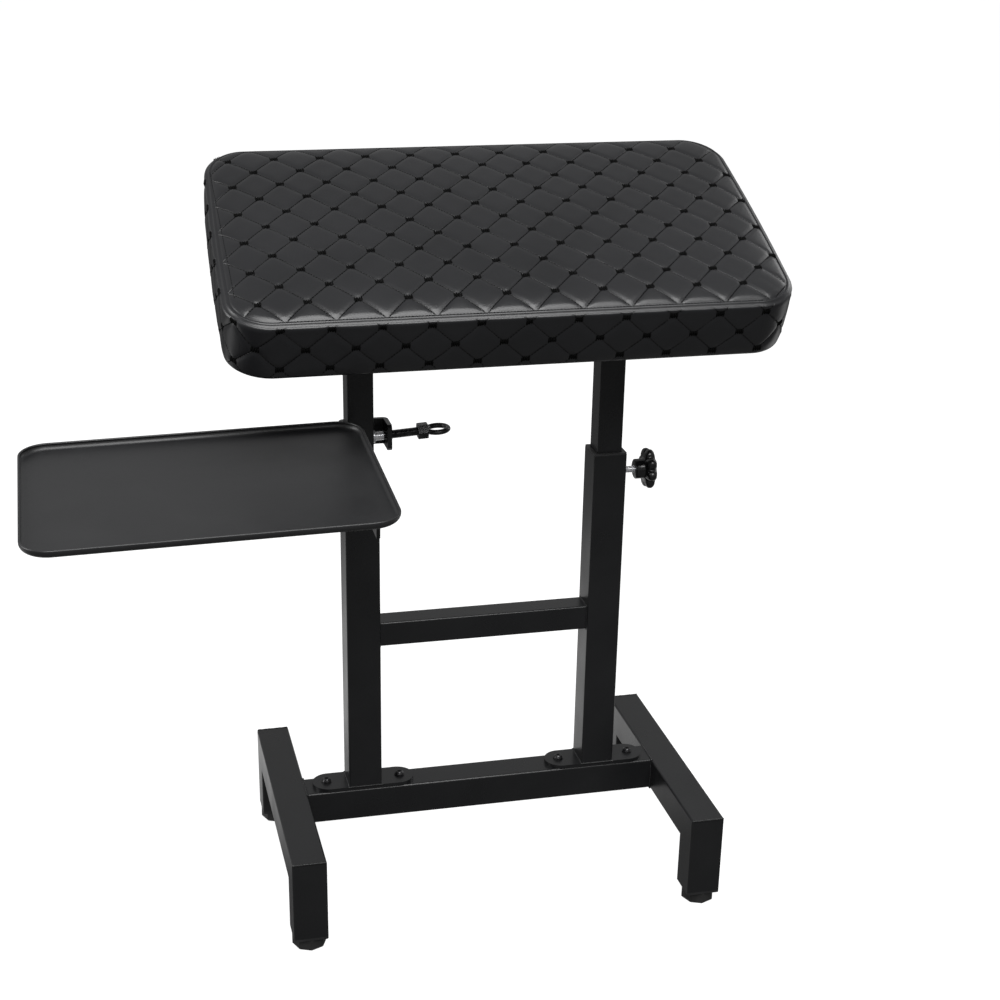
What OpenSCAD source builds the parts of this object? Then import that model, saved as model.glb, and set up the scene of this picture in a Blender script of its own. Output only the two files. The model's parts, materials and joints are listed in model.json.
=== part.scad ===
// Arm rest stand: a steel H-base, two telescoping posts, a tilting quilted
// pad and a tool tray clamped to the left sliding tube. Millimetres, +Z up,
// the viewer stands at -Y.

/* [Tubes] */
// Width of the square tubes of the base and the posts
tube_w = 40; // [38:1:46]
// Wall of those tubes
tube_wall = 2; // [1.5:0.1:2.5]
// Outer corner radius of those tubes
tube_r = 2.5; // [2.4:0.1:4]
// Width of the square sliding tubes and of the crossbar
slide_w = 30; // [26:1:32]
// Wall of the sliding tubes
slide_wall = 2; // [1.5:0.1:2.4]
// Outer corner radius of the sliding tubes
slide_r = 2; // [1.8:0.1:3.5]

/* [Base] */
// Length of a foot rail, front to rear
foot_len = 334; // [300:2:420]
// Distance of the rails' middle in front of the posts
foot_shift = 7.5; // [0:0.5:20]
// Distance between the two foot rails, centre to centre
foot_spacing = 474; // [450:2:560]
// Height of the rails' top face above the floor
rail_top_h = 117; // [105:1:150]
// Height of a levelling glide's octagonal foot
glide_h = 14.5; // [8:0.1:18]
// Width across the corners of that foot
glide_w = 40; // [30:1:42]
// Thickness of the plug's lip under a leg
plug_lip_t = 3; // [2:0.1:5]
// Depth of the plug inside the leg
plug_depth = 15; // [10:1:25]

/* [Posts] */
// Distance between the two posts, centre to centre
post_spacing = 292; // [280:2:330]
// Length of a post tube
post_len = 403; // [370:1:480]
// Length of the round-ended plate under a post
plate_len = 124; // [118:1:140]
// Thickness of that plate
plate_t = 4.5; // [4:0.5:8]
// Distance between the two bolts of a plate
plate_bolt_pitch = 90; // [84:1:96]
// Height of the crossbar's underside above the foot of the posts
crossbar_rise = 182; // [120:2:250]

/* [Height slide] */
// Length of a sliding tube
slide_len = 430; // [400:5:480]
// How far it stands out of its post
slide_out = 205; // [190:1:230]
// Length of the plastic guide bush inside the post's mouth
bush_len = 43; // [38:1:60]
// Thickness of the bush's lip
bush_lip_t = 2; // [1.5:0.1:4]
// Running gap between sliding flat faces
slide_gap = 0.3; // [0.2:0.05:0.5]

/* [Lock knobs] */
// Distance of the lock stud below the post's mouth
lock_drop = 25.5; // [22:0.5:32]
// Diameter of the studs and pivot bolts
stud_d = 8; // [6:0.5:10]
// Diameter over the lobes of a height knob
knob_d = 49; // [44:1:56]
// Diameter over the lobes of a tilt knob
tilt_knob_d = 33; // [29:1:35]
// Thickness of a knob's lobed head
knob_t = 12; // [9:0.5:16]
// Count of the lobes
knob_lobes = 8; // [6:1:9]
// Thickness of the weld nut on the post
weld_nut_t = 3; // [2:0.5:9]
// Free length of stud between the weld nut and the knob
stud_show = 13; // [8:0.5:18]

/* [Tilt head] */
// Tilt of the pad, front edge down
pad_tilt = 21.5; // [0:0.5:30]
// Distance from the pivot to the pad's underside
pivot_drop = 23; // [23:0.5:32]
// Distance from the sliding tube's top to the pivot
pivot_below_top = 10.5; // [9:0.5:12]
// Thickness of a bracket's ears and plate
bracket_t = 3; // [2:0.1:4]
// Width of an ear
ear_w = 28; // [24:1:34]
// Length of the bracket's plate along the pad
bracket_len = 90; // [84:1:110]
// Width of the bracket's plate
bracket_w = 54; // [44:1:70]

/* [Pad] */
// Width of the pad, left to right
pad_w = 602; // [540:2:680]
// Depth of the pad, front to rear along its own plane
pad_d = 331; // [300:1:380]
// Height of the side band, underside to seam
pad_h = 63; // [56:1:80]
// Corner radius of the pad's outline
pad_r = 46; // [36:1:60]
// Rise of the crown above the seam
crown_h = 7.5; // [4:0.5:14]
// Depth of a sewn tuft below the puffs round it
tuft_depth = 3.5; // [2:0.25:6]
// Half the spacing of the tufts along the pad
quilt_x = 25.6; // [22:0.1:32]
// Half the spacing of the tufts across the pad
quilt_y = 27; // [24:0.1:34]
// How far the band draws in at the underside
draw_in = 3; // [1:0.5:8]
// Thickness of the plywood board
board_t = 12; // [9:0.5:15]
// Thickness of the folded hem and of the dust cover
hem_t = 1.5; // [1:0.1:2.5]
// Width of the hem under the board
hem_w = 30; // [20:1:40]

/* [Tray] */
// Width of the tray, left to right
tray_w = 370; // [320:2:420]
// Depth of the tray, front to rear
tray_d = 274; // [240:1:350]
// Height of the tray's rim
tray_h = 9; // [7:0.5:14]
// Corner radius of the tray's rim
tray_r = 31; // [18:1:40]
// Sheet thickness of the tray
sheet_t = 1.2; // [0.8:0.1:1.8]
// Fall of the tray towards its front
tray_pitch = 3.5; // [0:0.5:8]
// Fall of the tray towards its left side
tray_roll = 1; // [0:0.5:4]
// Height of the rim's rear right corner above the clamp
tray_rise = 12.5; // [10:0.5:16]
// Distance from the sliding tube's front face to the tray
tray_gap = 6; // [4:0.5:20]
// How far the tray's right edge stops short of the post's axis
tray_side = 2.5; // [0:0.5:20]

/* [Tray clamp] */
// Height of the clamp channel
clamp_h = 30; // [26:1:40]
// Thickness of the clamp channel
clamp_t = 5; // [4:0.5:6]
// Opening between the clamp's jaws
clamp_open = 46.5; // [46:0.5:56]
// How far the jaws reach in front of the tube's axis
jaw_reach = 12.5; // [11:0.5:20]
// Height of the clamp above the post's mouth
clamp_rise = 20; // [19:0.5:30]
// Diameter of the clamp screw
screw_d = 10; // [8:0.5:12]
// Angle of the clamp screw above level
screw_tilt = 3.5; // [0:0.5:6]
// Outer diameter of the screw's finger ring
ring_d = 30.5; // [28:0.5:40]
// Thickness of the ring's wire
ring_wire = 6; // [5:0.5:8]
// Thickness of the flat steel arm and strap under the tray
arm_t = 4; // [3:0.5:5]
// Width of that flat steel
arm_w = 28; // [24:1:40]

/* [Hidden] */

$fn = 48;
left = -1;
right = 1;
front = -1;
rear = 1;
cut = 1; // overrun of every cutting body
bolt_gap = 0.3; // radial gap of a plain clearance hole
thread_gap = 0.05; // radial gap of a turning thread or pivot
seat_gap = 0.3; // gap between seated pieces that can part

powder_black = [0.10, 0.10, 0.11];
zinc = [0.72, 0.72, 0.74];
plastic_black = [0.06, 0.06, 0.06];
vinyl_black = [0.13, 0.13, 0.14];
foam_grey = [0.75, 0.75, 0.70];
ply_tan = [0.72, 0.56, 0.38];

// Places of the base
post_x = post_spacing / 2;
foot_x = foot_spacing / 2;
leg_bottom_z = glide_h + seat_gap + plug_lip_t;
post_foot_z = rail_top_h + plate_t;
post_top_z = post_foot_z + post_len;
tube_bore = tube_w - 2 * tube_wall;
slide_bore = slide_w - 2 * slide_wall;

// Places of the height slide
slide_top_z = post_top_z + slide_out;
slide_foot_z = slide_top_z - slide_len;
lock_z = post_top_z - lock_drop;
pivot_z = slide_top_z - pivot_below_top;

// Sizes of the lock parts
weld_nut_w = 14;
nut_face_x = tube_w / 2 + weld_nut_t;
hub_d = 24;
hub_len = 9;
knob_face_x = nut_face_x + stud_show;
lobe_fill_share = 0.94; // width of a lobe as a share of its step round the rim
knob_cap_share = 0.15; // height of the raised cap as a share of the head
stud_in_knob = 14;
bush_hole_d = stud_d + 2 * bolt_gap;
bush_wall_gap = 0.2;

// Sizes of the glides and plugs
glide_stem_d = 8;
glide_stem_len = 22;
glide_chamfer = 2;
plug_gap = 0.4;
plug_wall = 5;

// Sizes of the plate bolts
bolt_d = 6;
bolt_head_d = 11;
bolt_head_h = 3.5;
bolt_dome_inset = 2;
bolt_socket_w = 4.6;
bolt_socket_depth = 2;
washer_d = 12.5;
washer_t = 1.2;
nut_w = 11.5;
nut_t = 5;
bolt_tail = 2;

// Sizes of the tilt head
washer_thin_t = 0.7;
ear_in_x = slide_w / 2 + washer_thin_t + seat_gap;
ear_out_x = ear_in_x + bracket_t;
tilt_washer_t = 2;
tilt_washer_d = 22;
tilt_hub_d = 18;
tilt_hub_len = 4;
tilt_knob_t = 10;
pivot_head_w = 15;
pivot_head_h = 5.3;
tilt_knob_x = ear_out_x + 2 * seat_gap + tilt_washer_t;
pivot_tail = 1;
cap_t = 2;
cap_depth = 9;
screw_head_d = 9;
screw_head_h = 2.4;
screw_shank_d = 4.5;
screw_bite = 9;
screw_inset = 10;

// Sizes inside the pad
board_inset = 11;
foam_skin = 2; // padding left over the foam at the lowest tuft
foam_top = tuft_depth + foam_skin;
cover_gap = 0.2;
seam_inset = 3;
groove_depth = 2;
seam_band = 4;
band_row_shares = [0.885, 0.52, 0.16]; // heights of the band's tuft rows
columns = round(pad_w / quilt_x);
rows = round(pad_d / quilt_y);

// Sizes of the tray and its clamp
tray_bend_r = 7.5;
tray_bead = 1.6; // thickness of the rolled rim
clamp_z = post_top_z + clamp_rise;
clamp_top_z = clamp_z + clamp_h;
screw_z = clamp_z + clamp_h / 2;
jaw_left_x = -slide_w / 2 - slide_gap;
jaw_right_x = jaw_left_x + clamp_open;
web_y = slide_w / 2 + slide_gap;
clamp_corner = 3;
clamp_bend_r = 7;
cup_d = 14;
cup_t = 2.5;
cup_sleeve_len = 10;
cup_wall = 1.2;
cup_pin_gap = 0.3;
cup_face_x = slide_w / 2 + seat_gap + cup_d / 2 * sin(screw_tilt);
cup_back_x = cup_face_x + cup_t + cup_sleeve_len;
cup_bore_d = screw_d - 2 * cup_wall;
screw_out = 31.5; // length of screw between the jaw and its collar
collar_w = 19;
screw_end_x = jaw_right_x + clamp_t + screw_out;
collar_len = 11.5;
ring_bite = 4; // how deep the ring's wire sits in the collar
arm_len = 250;
strap_w = 25;
strap_end = 34; // distance of the strap's end from the tray's left edge
tray_right_x = -post_x - tray_side;
tray_rear_y = -slide_w / 2 - tray_gap;
tray_rim_z = clamp_top_z + tray_rise;
arm_x = jaw_left_x - clamp_t + tray_side; // the jaw's outer face, from the tray's right edge

// The origin is the middle of the whole stand's outline on the floor
outline_left = tray_right_x - tray_w * cos(tray_roll);
outline_right = pad_w / 2;
outline_front = tray_rear_y - tray_d * cos(tray_pitch);
outline_rear = foot_len / 2 - foot_shift;
origin_x = (outline_left + outline_right) / 2;
origin_y = (outline_front + outline_rear) / 2;

// Frames of reference

module stand() {
  translate([-origin_x, -origin_y, 0]) children();
}

module at_post(side) {
  stand() translate([side * post_x, 0, 0]) mirror([side < 0 ? 1 : 0, 0, 0]) children();
}

// The pad's own frame: underside at z = 0, above the pivot, tilted
module on_pad() {
  stand() translate([0, 0, pivot_z]) rotate([pad_tilt, 0, 0]) translate([0, 0, pivot_drop]) children();
}

module on_clamp() {
  stand() translate([-post_x, 0, 0]) children();
}

// The clamp screw's frame: its axis along +X, turned where it passes the jaw
module on_screw() {
  on_clamp() translate([jaw_right_x, 0, screw_z]) rotate([0, -screw_tilt, 0])
    translate([-jaw_right_x, 0, 0]) children();
}

// Frame of the arm: at the rear right corner of the tray's rim, falling to the front
module on_arm() {
  stand() translate([tray_right_x, tray_rear_y, tray_rim_z]) rotate([tray_pitch, 0, 0]) children();
}

// The tray's own frame, which falls to the left too
module on_tray() {
  on_arm() rotate([0, -tray_roll, 0]) children();
}

// Shared shapes

module rounded_rect(w, h, r) {
  square([w - 2 * r, h], center = true);
  square([w, h - 2 * r], center = true);
  for (sx = [-1, 1], sy = [-1, 1])
    translate([sx * (w / 2 - r), sy * (h / 2 - r)]) circle(r = r);
}

module square_tube(len, w, wall, r) {
  linear_extrude(height = len) difference() {
    rounded_rect(w, w, r);
    rounded_rect(w - 2 * wall, w - 2 * wall, max(r - wall, wall / 4));
  }
}

module post_tube(len) {
  square_tube(len, tube_w, tube_wall, tube_r);
}

// A body turned to lie along +X from the origin
module along_x() {
  rotate([90, 0, 90]) children();
}

module rod_x(d, len) {
  along_x() cylinder(d = d, h = len);
}

module hex_x(w, len) {
  along_x() cylinder(d = w, h = len, $fn = 6);
}

// Base

// Triangle above (lift = 1) or below (lift = -1) the mitre of a foot frame
module mitre_wedge(lift) {
  far = tube_w + cut;
  corner = lift > 0 ? [far, cut] : [-cut, -far];
  translate([-tube_w / 2 - cut, 0, 0]) along_x()
    linear_extrude(height = tube_w + 2 * cut) polygon([[-cut, cut], [far, -far], corner]);
}

module foot_corner(side, end) {
  stand() translate([side * foot_x, -foot_shift, rail_top_h]) mirror([0, end > 0 ? 1 : 0, 0])
    translate([0, -foot_len / 2, 0]) children();
}

module leg(side, end) {
  color(powder_black) foot_corner(side, end) difference() {
    translate([0, tube_w / 2, leg_bottom_z - rail_top_h]) post_tube(rail_top_h - leg_bottom_z);
    mitre_wedge(1);
  }
}

module foot_rail(side) {
  front_y = -foot_len / 2 - foot_shift;
  color(powder_black) stand() translate([side * foot_x, front_y, rail_top_h]) difference() {
    translate([0, foot_len, -tube_w / 2]) rotate([90, 0, 0]) post_tube(foot_len);
    mitre_wedge(-1);
    translate([0, foot_len, 0]) mirror([0, 1, 0]) mitre_wedge(-1);
  }
}

module left_foot_rail() { foot_rail(left); }
module right_foot_rail() { foot_rail(right); }
module front_left_leg() { leg(left, front); }
module rear_left_leg() { leg(left, rear); }
module front_right_leg() { leg(right, front); }
module rear_right_leg() { leg(right, rear); }

module leg_axis(side, end) {
  stand() translate([side * foot_x, end * (foot_len / 2 - tube_w / 2) - foot_shift, 0]) children();
}

module leg_plug() {
  core_w = tube_bore - 2 * plug_gap;
  translate([0, 0, leg_bottom_z]) difference() {
    union() {
      translate([0, 0, -plug_lip_t]) linear_extrude(height = plug_lip_t)
        rounded_rect(tube_w, tube_w, tube_r);
      linear_extrude(height = plug_depth) difference() {
        rounded_rect(core_w, core_w, tube_wall);
        rounded_rect(core_w - 2 * plug_wall, core_w - 2 * plug_wall, tube_wall);
      }
      cylinder(d = glide_stem_d + 2 * plug_wall, h = plug_depth);
    }
    translate([0, 0, -plug_lip_t - cut])
      cylinder(d = glide_stem_d + 2 * thread_gap, h = plug_lip_t + plug_depth + 2 * cut);
  }
}

module leg_plugs() {
  color(plastic_black) for (side = [left, right], end = [front, rear]) leg_axis(side, end) leg_plug();
}

module glide(side, end) {
  color(plastic_black) leg_axis(side, end) {
    cylinder(d1 = glide_w - 2 * glide_chamfer, d2 = glide_w, h = glide_chamfer, $fn = 8);
    translate([0, 0, glide_chamfer]) cylinder(d = glide_w, h = glide_h - glide_chamfer, $fn = 8);
    translate([0, 0, glide_h - cut]) cylinder(d = glide_stem_d, h = glide_stem_len + cut);
  }
}

module front_left_glide() { glide(left, front); }
module rear_left_glide() { glide(left, rear); }
module front_right_glide() { glide(right, front); }
module rear_right_glide() { glide(right, rear); }

module bolt_places() {
  for (side = [left, right], end = [-1, 1])
    stand() translate([side * post_x + end * plate_bolt_pitch / 2, 0, 0]) children();
}

module cross_beam() {
  beam_len = foot_spacing - tube_w;
  color(powder_black) difference() {
    stand() translate([-beam_len / 2, 0, rail_top_h - tube_w / 2]) along_x() post_tube(beam_len);
    bolt_places() translate([0, 0, rail_top_h - tube_wall - cut])
      cylinder(d = bolt_d + 2 * bolt_gap, h = tube_wall + 2 * cut);
  }
}

module post_plate(side) {
  color(powder_black) difference() {
    stand() translate([side * post_x, 0, rail_top_h]) linear_extrude(height = plate_t) {
      square([plate_len - tube_w, tube_w], center = true);
      for (end = [-1, 1]) translate([end * (plate_len - tube_w) / 2, 0]) circle(d = tube_w);
    }
    bolt_places() translate([0, 0, rail_top_h - cut])
      cylinder(d = bolt_d + 2 * bolt_gap, h = plate_t + 2 * cut);
  }
}

module left_post_plate() { post_plate(left); }
module right_post_plate() { post_plate(right); }

module plate_bolt() {
  shank = bolt_tail + nut_t + tube_wall + plate_t + washer_t;
  translate([0, 0, post_foot_z + washer_t]) difference() {
    union() {
      translate([0, 0, -shank]) cylinder(d = bolt_d, h = shank);
      rotate_extrude() polygon([
        [0, 0], [bolt_head_d / 2, 0], [bolt_head_d / 2, bolt_head_h / 4],
        [bolt_head_d / 2 - bolt_dome_inset / 2, bolt_head_h * 3 / 4],
        [bolt_head_d / 2 - bolt_dome_inset, bolt_head_h], [0, bolt_head_h]
      ]);
    }
    translate([0, 0, bolt_head_h - bolt_socket_depth])
      cylinder(d = bolt_socket_w, h = bolt_socket_depth + cut, $fn = 6);
  }
}

module plate_bolts() {
  color(powder_black) bolt_places() plate_bolt();
}

module washer(d, hole_d, t) {
  linear_extrude(height = t) difference() {
    circle(d = d);
    circle(d = hole_d);
  }
}

module plate_washers() {
  color(powder_black) bolt_places() translate([0, 0, post_foot_z])
    washer(washer_d, bolt_d + 2 * bolt_gap, washer_t);
}

module plate_nuts() {
  color(zinc) bolt_places() translate([0, 0, rail_top_h - tube_wall - nut_t])
    linear_extrude(height = nut_t) difference() {
      circle(d = nut_w, $fn = 6);
      circle(d = bolt_d + 2 * thread_gap);
    }
}

// Posts

module post(side) {
  color(powder_black) at_post(side) difference() {
    translate([0, 0, post_foot_z]) post_tube(post_len);
    translate([0, 0, lock_z]) rod_x(bush_hole_d, tube_w / 2 + cut);
  }
}

module left_post() { post(left); }
module right_post() { post(right); }

module crossbar() {
  bar_len = post_spacing - tube_w;
  color(powder_black) stand() translate([-bar_len / 2, 0, post_foot_z + crossbar_rise + slide_w / 2])
    along_x() square_tube(bar_len, slide_w, slide_wall, slide_r);
}

module weld_nut(side) {
  color(powder_black) at_post(side) translate([tube_w / 2, 0, lock_z]) difference() {
    rod_x(weld_nut_w, weld_nut_t);
    translate([-cut, 0, 0]) rod_x(stud_d + 2 * thread_gap, weld_nut_t + 2 * cut);
  }
}

module left_weld_nut() { weld_nut(left); }
module right_weld_nut() { weld_nut(right); }

module guide_bush(side) {
  outer_w = tube_bore - 2 * bush_wall_gap;
  inner_w = slide_w + 2 * slide_gap;
  lip_w = tube_w - 2 * bush_wall_gap;
  color(plastic_black) at_post(side) translate([0, 0, post_top_z]) difference() {
    union() {
      translate([0, 0, -bush_len]) linear_extrude(height = bush_len)
        rounded_rect(outer_w, outer_w, tube_wall);
      linear_extrude(height = bush_lip_t) rounded_rect(lip_w, lip_w, tube_r);
    }
    translate([0, 0, -bush_len - cut]) linear_extrude(height = bush_len + bush_lip_t + 2 * cut)
      rounded_rect(inner_w, inner_w, slide_r);
    translate([0, 0, -lock_drop]) rod_x(bush_hole_d, tube_w / 2);
  }
}

module left_guide_bush() { guide_bush(left); }
module right_guide_bush() { guide_bush(right); }

// Lock studs and knobs

module lock_stud(side) {
  tip_x = slide_w / 2 + seat_gap;
  color(zinc) at_post(side) translate([tip_x, 0, lock_z])
    rod_x(stud_d, knob_face_x + stud_in_knob - tip_x);
}

module left_lock_stud() { lock_stud(left); }
module right_lock_stud() { lock_stud(right); }

// Lobed knob along +X with its hub's face at the origin
module star_knob(d, head_t, hub_w, hub_l, bore_d, bore_len) {
  lobe_r = d * sin(180 / knob_lobes) / (2 + 2 * sin(180 / knob_lobes)) * lobe_fill_share;
  along_x() difference() {
    union() {
      cylinder(d = hub_w, h = hub_l);
      translate([0, 0, hub_l]) linear_extrude(height = head_t) {
        circle(d = d - 3 * lobe_r);
        for (i = [0 : knob_lobes - 1]) rotate(i * 360 / knob_lobes)
          translate([d / 2 - lobe_r, 0]) circle(r = lobe_r);
      }
      translate([0, 0, hub_l + head_t]) cylinder(d = hub_w, h = head_t * knob_cap_share);
    }
    translate([0, 0, -cut]) cylinder(d = bore_d, h = bore_len + cut);
  }
}

module lock_knob(side) {
  color(plastic_black) at_post(side) translate([knob_face_x, 0, lock_z])
    star_knob(knob_d, knob_t, hub_d, hub_len, stud_d + 2 * thread_gap, stud_in_knob + seat_gap);
}

module left_lock_knob() { lock_knob(left); }
module right_lock_knob() { lock_knob(right); }

// Sliding tubes

module slide_tube(side) {
  color(powder_black) at_post(side) difference() {
    translate([0, 0, slide_foot_z]) square_tube(slide_len, slide_w, slide_wall, slide_r);
    translate([-slide_w / 2 - cut, 0, pivot_z]) rod_x(stud_d + 2 * bolt_gap, slide_w + 2 * cut);
  }
}

module left_slide_tube() { slide_tube(left); }
module right_slide_tube() { slide_tube(right); }

module tube_foot(side) {
  lip_w = tube_bore - 2 * slide_gap;
  core_w = slide_bore - 2 * bush_wall_gap;
  color(plastic_black) at_post(side) translate([0, 0, slide_foot_z]) {
    translate([0, 0, -plug_lip_t]) linear_extrude(height = plug_lip_t) rounded_rect(lip_w, lip_w, tube_wall);
    linear_extrude(height = plug_depth) rounded_rect(core_w, core_w, slide_wall / 2);
  }
}

module left_tube_foot() { tube_foot(left); }
module right_tube_foot() { tube_foot(right); }

module tube_cap(side) {
  core_w = slide_bore - 2 * bush_wall_gap;
  color(plastic_black) at_post(side) translate([0, 0, slide_top_z]) difference() {
    union() {
      linear_extrude(height = cap_t) rounded_rect(slide_w, slide_w, slide_r);
      translate([0, 0, -cap_depth]) linear_extrude(height = cap_depth)
        rounded_rect(core_w, core_w, slide_wall / 2);
    }
    translate([-slide_w / 2, 0, -pivot_below_top]) rod_x(stud_d + 2 * bolt_gap, slide_w);
  }
}

module left_tube_cap() { tube_cap(left); }
module right_tube_cap() { tube_cap(right); }

// Tilt heads, written for the right post: the bolt's head is on the inner side

module pivot_bolt(side) {
  head_x = -ear_out_x - seat_gap;
  end_x = tilt_knob_x + tilt_hub_len + tilt_knob_t + pivot_tail;
  color(zinc) at_post(side) translate([0, 0, pivot_z]) {
    translate([head_x - pivot_head_h, 0, 0]) hex_x(pivot_head_w, pivot_head_h);
    translate([head_x - cut, 0, 0]) rod_x(stud_d, end_x - head_x + cut);
  }
}

module left_pivot_bolt() { pivot_bolt(left); }
module right_pivot_bolt() { pivot_bolt(right); }

module friction_washers() {
  color(plastic_black) for (side = [left, right]) at_post(side)
    for (x = [-slide_w / 2 - washer_thin_t, slide_w / 2]) translate([x, 0, pivot_z])
      along_x() washer(tilt_washer_d, stud_d + 2 * bolt_gap, washer_thin_t);
}

module tilt_washer(side) {
  color(zinc) at_post(side) translate([ear_out_x + seat_gap, 0, pivot_z])
    along_x() washer(tilt_washer_d, stud_d + 2 * thread_gap, tilt_washer_t);
}

module left_tilt_washer() { tilt_washer(left); }
module right_tilt_washer() { tilt_washer(right); }

module tilt_knob(side) {
  through = tilt_hub_len + tilt_knob_t * (1 + knob_cap_share);
  color(plastic_black) at_post(side) translate([tilt_knob_x, 0, pivot_z])
    star_knob(tilt_knob_d, tilt_knob_t, tilt_hub_d, tilt_hub_len, stud_d + 2 * thread_gap, through + cut);
}

module left_tilt_knob() { tilt_knob(left); }
module right_tilt_knob() { tilt_knob(right); }

// Screw places of one bracket, in the pad's frame
module screw_places(side) {
  for (u = [-1, 1], v = [-1, 1])
    translate([side * post_x + u * (bracket_len / 2 - screw_inset), v * (bracket_w / 2 - screw_inset), 0])
      children();
}

module tilt_ear() {
  difference() {
    union() {
      translate([0, -ear_w / 2, -pivot_drop]) cube([bracket_t, ear_w, pivot_drop - bracket_t]);
      translate([0, 0, -pivot_drop]) rod_x(ear_w, bracket_t);
    }
    translate([-cut, 0, -pivot_drop]) rod_x(stud_d + 2 * thread_gap, bracket_t + 2 * cut);
  }
}

module tilt_bracket(side) {
  color(powder_black) on_pad() {
    difference() {
      translate([side * post_x, 0, -bracket_t]) linear_extrude(height = bracket_t)
        rounded_rect(bracket_len, bracket_w, screw_inset / 2);
      screw_places(side) translate([0, 0, -bracket_t - cut])
        cylinder(d = screw_shank_d + 2 * bolt_gap, h = bracket_t + 2 * cut);
    }
    for (x = [-ear_out_x, ear_in_x]) translate([side * post_x + x, 0, 0]) tilt_ear();
  }
}

module left_tilt_bracket() { tilt_bracket(left); }
module right_tilt_bracket() { tilt_bracket(right); }

module bracket_screws() {
  color(zinc) on_pad() for (side = [left, right]) screw_places(side) {
    translate([0, 0, -bracket_t - screw_head_h])
      cylinder(d1 = screw_shank_d, d2 = screw_head_d, h = screw_head_h);
    translate([0, 0, -bracket_t - cut / 2]) cylinder(d = screw_shank_d, h = bracket_t + hem_t + screw_bite);
  }
}

// Pad

module pad_outline(inset) {
  rounded_rect(pad_w - 2 * inset, pad_d - 2 * inset, pad_r - inset);
}

module screw_holes(z, len) {
  for (side = [left, right]) screw_places(side) translate([0, 0, z])
    cylinder(d = screw_shank_d + 2 * bolt_gap, h = len);
}

module pad_board() {
  color(ply_tan) on_pad() difference() {
    translate([0, 0, hem_t]) linear_extrude(height = board_t) pad_outline(board_inset);
    screw_holes(hem_t - cut, screw_bite + cut);
  }
}

module pad_foam() {
  foam_z = hem_t + board_t;
  color(foam_grey) on_pad() translate([0, 0, foam_z])
    linear_extrude(height = pad_h - foam_top - foam_z) pad_outline(board_inset);
}

module pad_dust_cover() {
  color(vinyl_black) on_pad() difference() {
    linear_extrude(height = hem_t) pad_outline(draw_in + hem_w + seat_gap);
    screw_holes(-cut, hem_t + 2 * cut);
  }
}

// Square grid point drawn onto the pad's round-cornered outline
function corner_in(u, v, a, b, r) =
  let (du = abs(u) - (a - r), dv = abs(v) - (b - r))
  du > 0 && dv > 0
    ? let (k = max(du, dv) / norm([du, dv])) [sign(u) * (a - r + du * k), sign(v) * (b - r + dv * k)]
    : [u, v];

function grid_point(i, j, inset) =
  let (a = pad_w / 2 - inset, b = pad_d / 2 - inset)
  corner_in(a * (2 * i / columns - 1), b * (2 * j / rows - 1), a, b, pad_r - inset);

function on_edge(i, j) = i == 0 || j == 0 || i == columns || j == rows;
function is_tuft(i, j) = (i + j) % 2 == 0;

// Height of the quilted top: crown, puffs and tufts, level along the seam
function top_z(i, j) =
  let (s = 2 * i / columns - 1, t = 2 * j / rows - 1)
  on_edge(i, j) ? pad_h
    : pad_h + crown_h * (1 - pow(s, 4)) * (1 - pow(t, 4)) - (is_tuft(i, j) ? tuft_depth : 0);

// Grid places round the rim, counter-clockwise from the front left corner
rim = concat(
  [for (i = [0 : columns - 1]) [i, 0]],
  [for (j = [0 : rows - 1]) [columns, j]],
  [for (i = [0 : columns - 1]) [columns - i, rows]],
  [for (j = [0 : rows - 1]) [0, rows - j]]
);

// Rings down the band: inset of puffs, inset of tufts, height, tuft parity
function band_rings() =
  let (upper = pad_h * band_row_shares[0])
  let (mid = pad_h * band_row_shares[1], low = pad_h * band_row_shares[2])
  [
    [seam_inset, seam_inset, pad_h - groove_depth, 0],
    [cover_gap, cover_gap, pad_h - seam_band, 0],
    [0, tuft_depth, upper, 0],
    [0, tuft_depth, mid, 1],
    [draw_in / 4, draw_in / 4 + tuft_depth, low, 0],
    [draw_in, draw_in, 0, 0]
  ];

function ring_points(ring) = [for (k = [0 : len(rim) - 1])
  let (p = grid_point(rim[k][0], rim[k][1], (k + ring[3]) % 2 == 0 ? ring[1] : ring[0]))
  [p[0], p[1], ring[2]]];

function top_index(i, j) = j * (columns + 1) + i;

module pad_form() {
  rings = band_rings();
  n = len(rim);
  top_count = (columns + 1) * (rows + 1);
  top_points = [for (j = [0 : rows], i = [0 : columns])
    let (p = grid_point(i, j, seam_inset)) [p[0], p[1], top_z(i, j)]];
  band_points = [for (ring = rings) each ring_points(ring)];
  top_faces = [for (j = [0 : rows - 1], i = [0 : columns - 1])
    let (a = top_index(i, j), b = top_index(i + 1, j))
      let (c = top_index(i + 1, j + 1), d = top_index(i, j + 1))
      each is_tuft(i, j) ? [[c, b, a], [d, c, a]] : [[d, b, a], [d, c, b]]];
  rim_index = [for (p = rim) top_index(p[0], p[1])];
  seam_faces = [for (k = [0 : n - 1])
    let (m = (k + 1) % n, c = top_count + m, d = top_count + k)
    each [[rim_index[k], rim_index[m], d], [rim_index[m], c, d]]];
  band_faces = [for (r = [0 : len(rings) - 2], k = [0 : n - 1])
    let (m = (k + 1) % n, base = top_count + r * n, a = base + k, b = base + m, c = a + n, d = b + n)
    each (k + r) % 2 == 0 ? [[a, b, c], [b, d, c]] : [[a, b, d], [a, d, c]]];
  last = top_count + (len(rings) - 1) * n;
  under = [[for (k = [0 : n - 1]) last + k]];
  polyhedron(points = concat(top_points, band_points),
    faces = concat(top_faces, seam_faces, band_faces, under), convexity = 4);
}

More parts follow.
